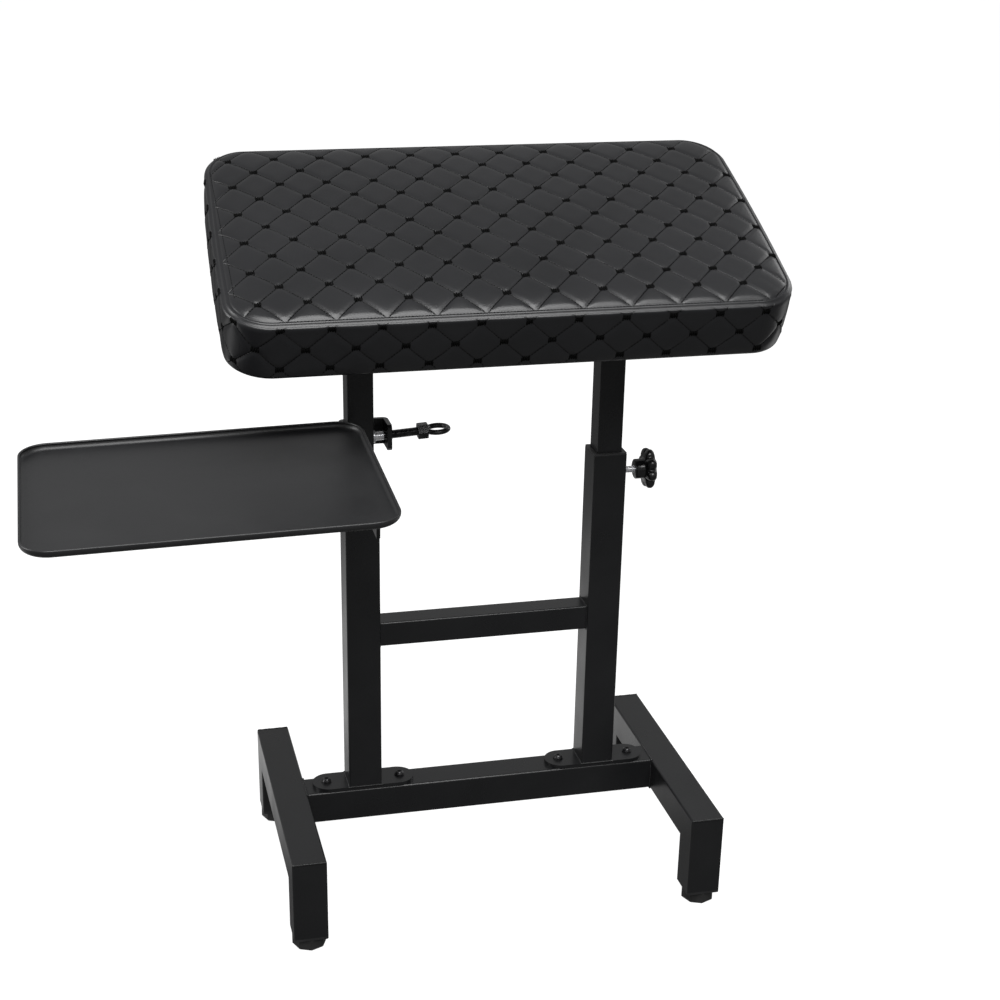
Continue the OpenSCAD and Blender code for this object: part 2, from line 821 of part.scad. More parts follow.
module pad_cover() {
  color(vinyl_black) on_pad() difference() {
    pad_form();
    translate([0, 0, hem_t - cover_gap]) linear_extrude(height = pad_h - foam_top - hem_t + 2 * cover_gap)
      pad_outline(board_inset - cover_gap);
    translate([0, 0, -cut]) linear_extrude(height = hem_t + cut) pad_outline(draw_in + hem_w);
  }
}

// Tray clamp, written from the left sliding tube's axis

// Plan of a bent sheet: open to the front, its rear corners rounded
module bent_plan(x, w, rear_y, r) {
  translate([x, -jaw_reach]) square([w, rear_y - r + jaw_reach]);
  translate([x + r, -jaw_reach]) square([w - 2 * r, rear_y + jaw_reach]);
  for (cx = [x + r, x + w - r]) translate([cx, rear_y - r]) circle(r = r);
}

module clamp_channel() {
  rear_y = web_y + clamp_t;
  outer_w = clamp_open + 2 * clamp_t;
  color(powder_black) difference() {
    on_clamp() intersection() {
      translate([0, 0, clamp_z]) linear_extrude(height = clamp_h) difference() {
        bent_plan(jaw_left_x - clamp_t, outer_w, rear_y, clamp_bend_r);
        translate([0, -cut])
          bent_plan(jaw_left_x, clamp_open, web_y + cut, clamp_bend_r - clamp_t);
      }
      translate([jaw_left_x - clamp_t - cut, 0, clamp_z]) along_x()
        linear_extrude(height = outer_w + 2 * cut) polygon([
          [-jaw_reach, clamp_corner], [-jaw_reach + clamp_corner, 0],
          [rear_y + cut, 0], [rear_y + cut, clamp_h],
          [-jaw_reach + clamp_corner, clamp_h], [-jaw_reach, clamp_h - clamp_corner]
        ]);
    }
    on_screw() translate([jaw_right_x - cut, 0, 0]) rod_x(screw_d + 2 * thread_gap, clamp_t + 2 * cut);
  }
}

// Angle steel along the tray's right side: upright leg on the jaw, flat leg under the tray
module tray_arm() {
  color(powder_black) {
    on_arm() translate([arm_x - arm_t, -tray_rear_y - arm_len, -tray_h - arm_t / 2 - arm_w])
      cube([arm_t, arm_len, arm_w]);
    on_tray() translate([arm_x - arm_w, -tray_rear_y - arm_len, -tray_h - arm_t])
      cube([arm_w, arm_len + tray_rear_y, arm_t]);
  }
}

module tray_strap() {
  strap_len = tray_w - strap_end + arm_x - arm_w;
  color(powder_black) on_tray()
    translate([strap_end - tray_w, -tray_d / 2 - strap_w / 2, -tray_h - arm_t])
      cube([strap_len, strap_w, arm_t]);
}

// Section of the tray's wall: x outwards from the bend's centre, y up
module tray_wall() {
  intersection() {
    difference() {
      circle(r = tray_bend_r);
      circle(r = tray_bend_r - sheet_t);
    }
    translate([0, -tray_bend_r]) square([tray_bend_r, tray_bend_r]);
  }
  translate([tray_bend_r - sheet_t, 0]) square([sheet_t, tray_h - tray_bend_r]);
  translate([tray_bend_r - tray_bead / 2, tray_h - tray_bend_r - tray_bead / 2]) circle(d = tray_bead);
}

module tray() {
  flat_w = tray_w - 2 * tray_r;
  flat_d = tray_d - 2 * tray_r;
  turn_r = tray_r - tray_bend_r;
  color(powder_black) on_tray()
    translate([-tray_w / 2, -tray_d / 2, tray_bend_r - tray_h]) {
      translate([0, 0, -tray_bend_r]) linear_extrude(height = sheet_t)
        rounded_rect(tray_w - 2 * tray_bend_r, tray_d - 2 * tray_bend_r, turn_r);
      for (end = [0, 180]) rotate(end) {
        translate([flat_w / 2 + turn_r, flat_d / 2, 0]) rotate([90, 0, 0])
          linear_extrude(height = flat_d) tray_wall();
        translate([-flat_w / 2, flat_d / 2 + turn_r, 0]) rotate([90, 0, 90])
          linear_extrude(height = flat_w) tray_wall();
      }
      for (q = [0 : 3])
        translate([(q == 0 || q == 3 ? 1 : -1) * flat_w / 2, (q < 2 ? 1 : -1) * flat_d / 2, 0])
          rotate(q * 90) rotate_extrude(angle = 90) translate([turn_r, 0]) tray_wall();
    }
}

// Clamp screw, written along +X from the cup's face on the tube

module pressure_cup() {
  color(zinc) on_screw() translate([cup_face_x, 0, 0]) difference() {
    union() {
      rod_x(cup_d, cup_t);
      rod_x(screw_d, cup_t + cup_sleeve_len);
    }
    translate([cup_t, 0, 0]) rod_x(cup_bore_d, cup_sleeve_len + cut);
  }
}

module clamp_screw() {
  color(zinc) on_screw() {
    translate([cup_face_x + cup_t + cup_pin_gap, 0, 0])
      rod_x(cup_bore_d - 2 * cup_pin_gap, cup_sleeve_len + cut);
    translate([cup_back_x + cup_pin_gap, 0, 0]) rod_x(screw_d, screw_end_x - cup_back_x - cup_pin_gap);
  }
}

module screw_collar() {
  color(powder_black) on_screw() translate([screw_end_x, 0, 0]) difference() {
    hex_x(collar_w, collar_len);
    translate([collar_len + ring_d / 2 - ring_bite, 0, 0]) ring_form();
  }
}

module ring_form() {
  rotate_extrude() translate([ring_d / 2 - ring_wire / 2, 0]) circle(d = ring_wire);
}

module screw_ring() {
  color(powder_black) on_screw()
    translate([screw_end_x + collar_len + ring_d / 2 - ring_bite, 0, 0]) ring_form();
}

left_foot_rail();
right_foot_rail();
front_left_leg();
rear_left_leg();
front_right_leg();
rear_right_leg();
leg_plugs();
front_left_glide();
rear_left_glide();
front_right_glide();
rear_right_glide();
cross_beam();
left_post_plate();
right_post_plate();
plate_bolts();
plate_washers();
plate_nuts();
left_post();
right_post();
crossbar();
left_weld_nut();
right_weld_nut();
left_guide_bush();
right_guide_bush();
left_lock_stud();
right_lock_stud();
left_lock_knob();
right_lock_knob();
left_slide_tube();
right_slide_tube();
left_tube_foot();
right_tube_foot();
left_tube_cap();
right_tube_cap();
left_pivot_bolt();
right_pivot_bolt();
friction_washers();
left_tilt_washer();
right_tilt_washer();
left_tilt_knob();
right_tilt_knob();
left_tilt_bracket();
right_tilt_bracket();
bracket_screws();
pad_board();
pad_foam();
pad_cover();
pad_dust_cover();
clamp_channel();
tray_arm();
tray_strap();
tray();
clamp_screw();
screw_collar();
screw_ring();
pressure_cup();
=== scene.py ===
import json
import math
import bmesh
import bpy
import numpy as np
from mathutils import Matrix, Vector
from mathutils.bvhtree import BVHTree


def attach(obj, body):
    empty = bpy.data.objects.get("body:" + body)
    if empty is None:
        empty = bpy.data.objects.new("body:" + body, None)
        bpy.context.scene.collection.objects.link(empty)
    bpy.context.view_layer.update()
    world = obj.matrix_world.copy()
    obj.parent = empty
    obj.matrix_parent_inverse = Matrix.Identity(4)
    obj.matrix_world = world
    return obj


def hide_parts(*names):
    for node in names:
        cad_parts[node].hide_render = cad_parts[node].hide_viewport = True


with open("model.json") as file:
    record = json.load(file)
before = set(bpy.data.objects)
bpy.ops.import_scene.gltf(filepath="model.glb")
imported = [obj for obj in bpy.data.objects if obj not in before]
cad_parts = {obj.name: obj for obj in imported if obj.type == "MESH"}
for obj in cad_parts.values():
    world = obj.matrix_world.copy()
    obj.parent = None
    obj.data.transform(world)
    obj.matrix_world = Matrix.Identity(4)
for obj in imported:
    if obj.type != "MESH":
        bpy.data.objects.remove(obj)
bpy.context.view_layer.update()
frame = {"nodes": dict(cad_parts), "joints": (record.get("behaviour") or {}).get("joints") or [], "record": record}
nodes = frame["nodes"]
mm = 0.001
tiny = 1e-9
bpy.context.scene.view_settings.view_transform = "Standard"


# camera first: everything else is judged through it
cameraSet = {
    "place": (-0.35089, -1.81991, 1.19602),
    "yaw": 13.167,  # degrees to the right of +Y
    "pitch": 22.987,  # degrees down
    "roll": 0.716,
    "lens": 64.137,
    "shift": (0.03254, 0.07973),
    "sensor": 36,
    "clipEnd": 60,
}


def newObject(name, data):
    made = bpy.data.objects.new(name, data)
    bpy.context.scene.collection.objects.link(made)
    return made


def placeCamera(s):
    yaw, pitch, roll = (math.radians(s[k]) for k in ("yaw", "pitch", "roll"))
    ahead = Vector((math.sin(yaw) * math.cos(pitch), math.cos(yaw) * math.cos(pitch), -math.sin(pitch)))
    level = Vector((math.cos(yaw), -math.sin(yaw), 0))
    upright = level.cross(ahead)
    right = level * math.cos(roll) + upright * math.sin(roll)
    up = right.cross(ahead)
    data = bpy.data.cameras.new("camera")
    data.sensor_fit = "HORIZONTAL"
    data.sensor_width = s["sensor"]
    data.lens = s["lens"]
    data.shift_x, data.shift_y = s["shift"]
    data.clip_end = s["clipEnd"]
    cam = newObject("camera", data)
    turn = Matrix((right, up, -ahead)).transposed().to_4x4()
    cam.matrix_world = Matrix.Translation(s["place"]) @ turn
    bpy.context.scene.camera = cam


placeCamera(cameraSet)
print("camera placed")


# material helpers

def newMaterial(name, values=()):
    mat = bpy.data.materials.new(name)
    mat.use_nodes = True
    tree = mat.node_tree
    shader = tree.nodes["Principled BSDF"]
    for key, value in dict(values).items():
        shader.inputs[key].default_value = value
    return mat, tree, shader


def addNode(tree, kind, **values):
    node = tree.nodes.new(kind)
    for key, value in values.items():
        if key in node.inputs:
            node.inputs[key].default_value = value
        else:
            setattr(node, key, value)
    return node


def wire(tree, source, output, target, socket):
    tree.links.new(source.outputs[output], target.inputs[socket])


def objectPoint(tree, scale=(1, 1, 1)):
    coords = tree.nodes.new("ShaderNodeTexCoord")
    mapping = addNode(tree, "ShaderNodeMapping", Scale=scale)
    wire(tree, coords, "Object", mapping, "Vector")
    return mapping.outputs["Vector"]


def noiseOf(tree, point, scale, detail=3.0, rough=0.5):
    node = addNode(tree, "ShaderNodeTexNoise", Scale=scale, Detail=detail, Roughness=rough)
    tree.links.new(point, node.inputs["Vector"])
    return node.outputs["Fac"]


def cellsOf(tree, point, scale, **more):
    node = addNode(tree, "ShaderNodeTexVoronoi", **more, Scale=scale)
    tree.links.new(point, node.inputs["Vector"])
    return node.outputs["Distance"]


def spread(tree, value, low, high, fromLow=0.3, fromHigh=0.7):
    ends = {"From Min": fromLow, "From Max": fromHigh, "To Min": low, "To Max": high}
    node = addNode(tree, "ShaderNodeMapRange", **ends)
    tree.links.new(value, node.inputs["Value"])
    return node.outputs["Result"]


def mixTint(tree, factor, first, second):
    node = addNode(tree, "ShaderNodeMix", data_type="RGBA", A=(*first, 1), B=(*second, 1))
    tree.links.new(factor, node.inputs["Factor"])
    return node.outputs["Result"]


def dye(tree, shader, factor, first, second):
    tree.links.new(mixTint(tree, factor, first, second), shader.inputs["Base Color"])


def roughen(tree, shader, value, low, high):
    tree.links.new(spread(tree, value, low, high), shader.inputs["Roughness"])


def bumpFrom(tree, shader, heights):
    last = None
    for height, strength, distance in heights:
        bump = addNode(tree, "ShaderNodeBump", Strength=strength, Distance=distance)
        tree.links.new(height, bump.inputs["Height"])
        if last:
            tree.links.new(last, bump.inputs["Normal"])
        last = bump.outputs["Normal"]
    tree.links.new(last, shader.inputs["Normal"])


def powderCoat(name, dark, pale, rough, grain):
    mat, tree, shader = newMaterial(name, {"Specular IOR Level": 0.42})
    point = objectPoint(tree)
    cloud = noiseOf(tree, point, 14, 4)
    peel = noiseOf(tree, point, grain, 2)
    dust = noiseOf(tree, point, grain * 3.1, 1)
    dye(tree, shader, spread(tree, cloud, 0, 1), dark, pale)
    roughen(tree, shader, cloud, rough - 0.05, rough + 0.06)
    bumpFrom(tree, shader, [(peel, 0.25, 0.0004), (dust, 0.12, 0.0002)])
    return mat


def blackSteel():
    mat, tree, shader = newMaterial("blackSteel", {"Metallic": 0.55})
    point = objectPoint(tree)
    wear = noiseOf(tree, point, 160, 5, 0.7)
    dye(tree, shader, spread(tree, wear, 0, 1, 0.45, 0.8), (0.012, 0.012, 0.013), (0.07, 0.07, 0.072))
    roughen(tree, shader, wear, 0.32, 0.22)
    bumpFrom(tree, shader, [(noiseOf(tree, point, 900, 3), 0.2, 0.0003)])
    return mat


def brightZinc():
    mat, tree, shader = newMaterial("brightZinc", {"Metallic": 0.5})
    point = objectPoint(tree)
    smear = noiseOf(tree, point, 220, 4)
    dye(tree, shader, spread(tree, smear, 0, 1), (0.52, 0.53, 0.56), (0.82, 0.82, 0.83))
    roughen(tree, shader, smear, 0.18, 0.36)
    bumpFrom(tree, shader, [(noiseOf(tree, point, 1400, 2), 0.1, 0.0002)])
    return mat


def mouldedPlastic(name, tint, rough, grain):
    mat, tree, shader = newMaterial(name)
    point = objectPoint(tree)
    cloud = noiseOf(tree, point, 60, 3)
    paler = tuple(c * 1.7 for c in tint)
    dye(tree, shader, spread(tree, cloud, 0, 1), tint, paler)
    roughen(tree, shader, cloud, rough - 0.06, rough + 0.06)
    bumpFrom(tree, shader, [(noiseOf(tree, point, grain, 2), 0.18, 0.0003)])
    return mat


def creaseShadeAndBump(tree):
    # the leather's map counts sewn lines, so a whole number in either direction is a line
    lines = addNode(tree, "ShaderNodeUVMap", uv_map="sewnLines")
    parts = tree.nodes.new("ShaderNodeSeparateXYZ")
    wire(tree, lines, "UV", parts, "Vector")
    nearest = addNode(tree, "ShaderNodeMath", operation="MINIMUM")
    for n, axis in enumerate("XY"):
        fold = addNode(tree, "ShaderNodeMath", operation="PINGPONG")
        fold.inputs[1].default_value = 0.5
        wire(tree, parts, axis, fold, 0)
        wire(tree, fold, "Value", nearest, n)
    return spread(tree, nearest.outputs["Value"], 0, 1, 0.006, 0.018)


def quiltedLeather():
    mat, tree, shader = newMaterial("quiltedLeather", {"Specular IOR Level": 0.5})
    point = objectPoint(tree)
    pores = cellsOf(tree, point, 950.0)
    wrinkles = cellsOf(tree, point, 420.0, feature="DISTANCE_TO_EDGE")
    cloud = noiseOf(tree, point, 9, 4)
    ripple = noiseOf(tree, point, 70, 3)
    # painted shade: near the sewn lines the leather's colour is mixed towards near black (0.002), standing in for
    # the shade in the creases; the same factor also drives the crease bump
    crease = creaseShadeAndBump(tree)
    hide = mixTint(tree, spread(tree, cloud, 0, 1), (0.0055, 0.0057, 0.0066), (0.0078, 0.008, 0.0092))
    shade = addNode(tree, "ShaderNodeMix", data_type="RGBA", A=(0.002, 0.002, 0.002, 1))
    tree.links.new(hide, shade.inputs["B"])
    tree.links.new(crease, shade.inputs["Factor"])
    wire(tree, shade, "Result", shader, "Base Color")
    roughen(tree, shader, cloud, 0.3, 0.38)
    bumpFrom(tree, shader, [
        (crease, 0.5, 0.0012),
        (ripple, 0.12, 0.0012),
        (spread(tree, wrinkles, 0, 1, 0.0, 0.12), 0.10, 0.00015),
        (pores, 0.12, 0.00015),
    ])
    return mat


def sewingThread():
    mat, tree, shader = newMaterial("sewingThread", {"Roughness": 0.85, "Specular IOR Level": 0.06})
    point = objectPoint(tree)
    twist = addNode(tree, "ShaderNodeTexWave", Scale=900.0, Distortion=2.0)
    tree.links.new(point, twist.inputs["Vector"])
    dye(tree, shader, noiseOf(tree, point, 300), (0.001, 0.001, 0.001), (0.003, 0.003, 0.003))
    bumpFrom(tree, shader, [(twist.outputs["Fac"], 0.4, 0.0003)])
    return mat


def rawPlywood():
    mat, tree, shader = newMaterial("rawPlywood", {"Roughness": 0.75})
    long = objectPoint(tree, (3, 60, 60))
    plies = objectPoint(tree, (2, 2, 700))
    grain = noiseOf(tree, long, 4, 6, 0.6)
    layer = noiseOf(tree, plies, 1, 1)
    dye(tree, shader, spread(tree, grain, 0, 1), (0.33, 0.2, 0.1), (0.56, 0.4, 0.24))
    bumpFrom(tree, shader, [(grain, 0.3, 0.0006), (layer, 0.3, 0.0004)])
    return mat


def seatFoam():
    mat, tree, shader = newMaterial("seatFoam", {"Roughness": 0.95})
    point = objectPoint(tree)
    dye(tree, shader, noiseOf(tree, point, 40), (0.62, 0.58, 0.46), (0.74, 0.71, 0.6))
    bumpFrom(tree, shader, [(cellsOf(tree, point, 700.0), 0.7, 0.0008)])
    return mat


def dustCloth():
    mat, tree, shader = newMaterial("dustCloth", {"Roughness": 0.92, "Sheen Weight": 0.2})
    point = objectPoint(tree)
    felt = noiseOf(tree, point, 420, 5, 0.75)
    dots = cellsOf(tree, point, 520.0, Randomness=0.15)
    dye(tree, shader, spread(tree, felt, 0, 1), (0.012, 0.012, 0.013), (0.04, 0.04, 0.042))
    bumpFrom(tree, shader, [(dots, 0.35, 0.0004), (felt, 0.4, 0.0004)])
    return mat


finishes = {
    "powder_coat": powderCoat("satinPowderCoat", (0.006, 0.0062, 0.0068), (0.0085, 0.0088, 0.0095), 0.3, 520),
    "tray_paint": powderCoat("fineTexturedPaint", (0.011, 0.0112, 0.012), (0.0155, 0.0158, 0.0166), 0.4, 800),
    "black_steel": blackSteel(),
    "zinc": brightZinc(),
    "black_plastic": mouldedPlastic("plugPlastic", (0.011, 0.011, 0.0115), 0.5, 700),
    "knob_plastic": mouldedPlastic("knobPlastic", (0.004, 0.004, 0.0043), 0.2, 900),
    "glide_plastic": mouldedPlastic("glidePlastic", (0.012, 0.012, 0.012), 0.55, 500),
    "upholstery": quiltedLeather(),
    "foam": seatFoam(),
    "plywood": rawPlywood(),
    "dust_cover": dustCloth(),
}
thread = sewingThread()
slotOf = {s["node"]: s["material_slot"] for s in frame["record"]["subparts"]}
bodyOf = {name: body for body, members in frame["record"]["behaviour"]["bodies"].items() for name in members}
for name, node in nodes.items():
    node.data.materials.clear()
    node.data.materials.append(finishes[slotOf[name]])
print("finishes made")


# making and handing over pieces

def meshPiece(name, verts, faces, material):
    data = bpy.data.meshes.new(name)
    data.from_pydata([tuple(v) for v in verts], [], [tuple(int(i) for i in f) for f in faces])
    data.materials.append(material)
    data.polygons.foreach_set("use_smooth", [True] * len(data.polygons))
    data.update()
    return newObject(name, data)


def handOver(piece, body, slot, *cadNodes):
    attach(piece, body)
    if cadNodes:
        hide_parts(*cadNodes)


def nodePoints(name):
    return np.array([tuple(v.co) for v in nodes[name].data.vertices])


def nodeBox(name):
    points = nodePoints(name)
    return points.min(0), points.max(0)


def ringFaces(rings, steps):
    faces = []
    for j in range(rings - 1):
        for k in range(steps):
            n = (k + 1) % steps
            faces.append((j * steps + k, (j + 1) * steps + k, (j + 1) * steps + n, j * steps + n))
    return faces


def faceOutward(piece, weldWithin=0):
    mesh = bmesh.new()
    mesh.from_mesh(piece.data)
    if weldWithin:
        bmesh.ops.remove_doubles(mesh, verts=mesh.verts, dist=weldWithin)
    bmesh.ops.recalc_face_normals(mesh, faces=mesh.faces)
    mesh.to_mesh(piece.data)
    mesh.free()


def roundedLoop(halfU, halfV, corner, inset, steps):
    r = corner - inset
    points = []
    for n, (su, sv) in enumerate(((1, -1), (1, 1), (-1, 1), (-1, -1))):
        for k in range(steps + 1):
            angle = math.radians(-90 + n * 90 + k * 90 / steps)
            u = su * (halfU - corner) + r * math.cos(angle)
            points.append((u, sv * (halfV - corner) + r * math.sin(angle)))
    return points


def between(start, end, share):
    return [start[0] + (end[0] - start[0]) * share, start[1] + (end[1] - start[1]) * share]


# the pad: u to the right, v to the rear along the pad, w out of its underside
pad = {
    "tilt": 21.5,  # degrees, front edge down
    "lift": 23 * mm,  # pivot to underside
    "halfWidth": 300 * mm,
    "halfDepth": 165.5 * mm,
    "sideBow": 3.5 * mm,  # how far the long foam pushes the ends out
    "endLean": ((-5.5, 4.5), (-4.5, -1)),  # mm to the right at the front and the rear of either end
    "leanPower": 5,
    "corner": 46 * mm,
    "height": 63 * mm,
    "crown": 3.4 * mm,
    "crownPowers": (6, 5),
    "edgeRoll": 5 * mm,  # how far the top sinks to its seam
    "rollReach": 11 * mm,
    "seamInset": 3.4 * mm,
    "shoulder": 3.8 * mm,  # height of the band's round shoulder
    "hemDrawIn": 1.5 * mm,
    "tuckFrom": 0.7,  # share of the height below the seam where the band starts to draw in
    "tuckPower": 2.2,
    "hem": ((2, -0.4), (6, -0.6), (19.8, -0.5), (33, -0.2), (33.8, 1.6)),  # mm inward and up, ring by ring
    "cell": 2.3 * mm,  # mesh step of the finished leather
    "edgeCell": 0.9 * mm,  # and of the strip along the seam
    "edgeStrip": 11 * mm,
    "edgeRings": 8,
    "simCell": 9 * mm,  # mesh step of the cloth
    "simRings": 8,
    "simFrames": 20,
    "swell": 3.5 * mm,  # most that the cloth may move
}
clothSettings = {
    "quality": 5,
    "mass": 0.4,
    "tension_stiffness": 12,
    "compression_stiffness": 12,
    "shear_stiffness": 6,
    "bending_stiffness": 0.8,
    "use_pressure": True,
    "uniform_pressure_force": 4.0,
    "vertex_group_mass": "sewn",
}
quilt = {
    "pitchU": 51 * mm,
    "pitchV": 53.4 * mm,
    "tuftAt": (-17.6 * mm, -26.3 * mm),
    "bandTufts": 35,
    "bandPitch": 46.8 * mm,
    "bandTuftAt": (1.9 * mm, 56.1 * mm),
    "bandLean": 2.5 * mm,  # how far the band's rows wander down to the right
    "puff": 1.3 * mm,
    "flank": 2.2 * mm,  # width of the slope beside a sewn line
    "crease": 0.35 * mm,
    "creaseWidth": 1 * mm,
    "tuftDepth": 0.5 * mm,
    "tuftReach": 4 * mm,
    "topstitch": 3.9 * mm,  # distance of the topstitch from the seam
    "fadeIn": 5 * mm,  # from the topstitch to the quilting's full height
    "bandFadeTop": (1.5 * mm, 4 * mm),  # start and length of the fade below the seam
    "bandFadeHem": (1 * mm, 9 * mm),
    "bandSettle": 0.55,  # share of the puff that the whole band is drawn in
    "unevenTop": (0.3 * mm, 4),  # height and seed
    "unevenBand": (0.4 * mm, 9),
    "unevenWaves": 9,
    "unevenSizes": (0.016, 0.07),
}
seamForm = {
    "rollAt": 1.9 * mm,
    "rollHalf": 2 * mm,
    "rollHeight": 0.9 * mm,
    "grooveDepth": 0.8 * mm,  # under the topstitch
    "grooveWidth": 0.6 * mm,
    "depth": 1.3 * mm,
    "width": 0.8 * mm,
    "bandDepth": 1.1 * mm,
    "bandWidth": 1 * mm,
}

pivot = next(j["pos_m"] for j in frame["joints"] if j["name"] == "pad_tilt")
padPlace = Matrix.Translation(pivot) @ Matrix.Rotation(math.radians(pad["tilt"]), 4, "X")
padPlace = padPlace @ Matrix.Translation((0, 0, pad["lift"]))


def stepsAcross(half, cell):
    edge = pad["edgeStrip"] if cell < pad["edgeStrip"] / 2 else 0
    core = np.linspace(0, half - edge, round((half - edge) / cell) + 1)
    strip = np.linspace(half - edge, half, round(edge / pad["edgeCell"]) + 1)[1:] if edge else []
    steps = np.concatenate([core, strip]) / half
    return np.concatenate([-steps[:0:-1], steps])


def stepsDown(cell):
    height = pad["height"]
    if cell > pad["edgeStrip"] / 2:
        return np.linspace(height, 0, pad["simRings"] + 1)[1:]
    edge = np.arange(1, pad["edgeRings"] + 1) * pad["edgeCell"]
    rest = np.linspace(edge[-1], height, round((height - edge[-1]) / cell) + 1)[1:]
    return height - np.concatenate([edge, rest])


def endLean(s, t):
    (leftFront, leftRear), (rightFront, rightRear) = pad["endLean"]
    left = leftFront + (leftRear - leftFront) * (t + 1) / 2
    right = rightFront + (rightRear - rightFront) * (t + 1) / 2
    return mm * np.where(s < 0, left, right) * np.abs(s) ** pad["leanPower"]


def outlinePoint(s, t, inset):
    a = pad["halfWidth"] - inset
    b = pad["halfDepth"] - inset
    r = pad["corner"] - inset
    u, v = s * a, t * b
    du, dv = np.abs(u) - (a - r), np.abs(v) - (b - r)
    inCorner = (du > 0) & (dv > 0)
    far = np.maximum(np.maximum(du, dv), tiny)
    length = np.maximum(np.hypot(du, dv), tiny)
    k = np.where(inCorner, far / length, 1)
    u = np.where(inCorner, np.sign(u) * (a - r + du * k), u)
    v = np.where(inCorner, np.sign(v) * (b - r + dv * k), v)
    return u + pad["sideBow"] * (u / a) ** 3 * (1 - (v / b) ** 2) + endLean(u / a, v / b), v


def rimSteps(across, along):
    i = np.concatenate([np.arange(across), np.full(along, across), np.arange(across, 0, -1), np.zeros(along)])
    j = np.concatenate([np.zeros(across), np.arange(along), np.full(across, along), np.arange(along, 0, -1)])
    return i.astype(int), j.astype(int)


def padShell(cell):
    s, t = np.meshgrid(stepsAcross(pad["halfWidth"], cell), stepsAcross(pad["halfDepth"], cell))
    along, across = s.shape[0] - 1, s.shape[1] - 1
    u, v = outlinePoint(s, t, pad["seamInset"])
    powerS, powerT = pad["crownPowers"]
    w = pad["height"] + pad["crown"] * (1 - np.abs(s) ** powerS) * (1 - np.abs(t) ** powerT)
    top = np.stack([u, v, w], -1)
    ri, rj = rimSteps(across, along)
    rimS, rimT = s[rj, ri], t[rj, ri]
    rings = []
    for level in stepsDown(cell):
        down = 1 - level / pad["height"]
        shoulder = max(0, 1 - (pad["height"] - level) / pad["shoulder"])
        bulge = pad["seamInset"] * (1 - math.sqrt(1 - shoulder ** 2))
        tucked = max(0, (down - pad["tuckFrom"]) / (1 - pad["tuckFrom"]))
        tuck = pad["hemDrawIn"] * tucked ** pad["tuckPower"]
        ru, rv = outlinePoint(rimS, rimT, bulge + tuck)
        rings.append(np.stack([ru, rv, np.full(len(ri), level)], -1))
    return top, np.array(rings), (s, t, ri, rj)


def shellFaces(across, along, ringCount, ri, rj):
    def at(i, j):
        return j * (across + 1) + i
    spots = [(i, j) for j in range(along) for i in range(across)]
    faces = [(at(i, j), at(i + 1, j), at(i + 1, j + 1), at(i, j + 1)) for i, j in spots]
    n = len(ri)
    start = (across + 1) * (along + 1)
    above = [at(i, j) for i, j in zip(ri, rj)]
    for r in range(ringCount):
        below = [start + r * n + k for k in range(n)]
        faces += [(below[k], below[(k + 1) % n], above[(k + 1) % n], above[k]) for k in range(n)]
        above = below
    return faces, above


def swellCloth():
    top, rings, (s, t, ri, rj) = padShell(pad["simCell"])
    along, across = s.shape[0] - 1, s.shape[1] - 1
    verts = np.concatenate([top.reshape(-1, 3), rings.reshape(-1, 3)])
    faces, hem = shellFaces(across, along, len(rings), ri, rj)
    faces.append(tuple(reversed(hem)))
    cloth = meshPiece("clothTrial", verts, faces, finishes["upholstery"])
    pins = cloth.vertex_groups.new(name="sewn")
    rimVerts = [int(j * (across + 1) + i) for i, j in zip(ri, rj)]
    pins.add(rimVerts + [int(k) for k in hem], 1.0, "REPLACE")
    modifier = cloth.modifiers.new("cloth", "CLOTH")
    for key, value in clothSettings.items():
        setattr(modifier.settings, key, value)
    modifier.settings.effector_weights.gravity = 0
    modifier.collision_settings.use_collision = False
    modifier.point_cache.frame_start = 1
    modifier.point_cache.frame_end = pad["simFrames"]
    for frameNumber in range(1, pad["simFrames"] + 1):
        bpy.context.scene.frame_set(frameNumber)
    graph = bpy.context.evaluated_depsgraph_get()
    moved = np.empty(len(verts) * 3)
    cloth.evaluated_get(graph).data.vertices.foreach_get("co", moved)
    bpy.context.scene.frame_set(1)
    bpy.data.objects.remove(cloth)
    shift = moved.reshape(-1, 3) - verts
    length = np.linalg.norm(shift, axis=1, keepdims=True)
    largest = length.max()
    shift *= pad["swell"] / max(largest, tiny)
    print("cloth moved up to %.1f mm, scaled to %.1f mm" % (largest * 1000, pad["swell"] * 1000))
    count = (across + 1) * (along + 1)
    topShift = shift[:count].reshape(along + 1, across + 1, 3)
    bandShift = np.concatenate([topShift[rj, ri][None], shift[count:].reshape(len(rings), len(ri), 3)])
    return topShift, np.concatenate([bandShift, bandShift[:, :1]], axis=1)


def sampleGrid(grid, x, y):
    x0 = np.clip(np.floor(x).astype(int), 0, grid.shape[1] - 2)
    y0 = np.clip(np.floor(y).astype(int), 0, grid.shape[0] - 2)
    fx, fy = (x - x0)[..., None], (y - y0)[..., None]
    low = grid[y0, x0] * (1 - fx) + grid[y0, x0 + 1] * fx
    high = grid[y0 + 1, x0] * (1 - fx) + grid[y0 + 1, x0 + 1] * fx
    return low * (1 - fy) + high * fy


def sewnLines(x, y, pitchX, pitchY, startX, startY):
    p = (x - startX) / pitchX + (y - startY) / pitchY
    q = (x - startX) / pitchX - (y - startY) / pitchY
    return p, q


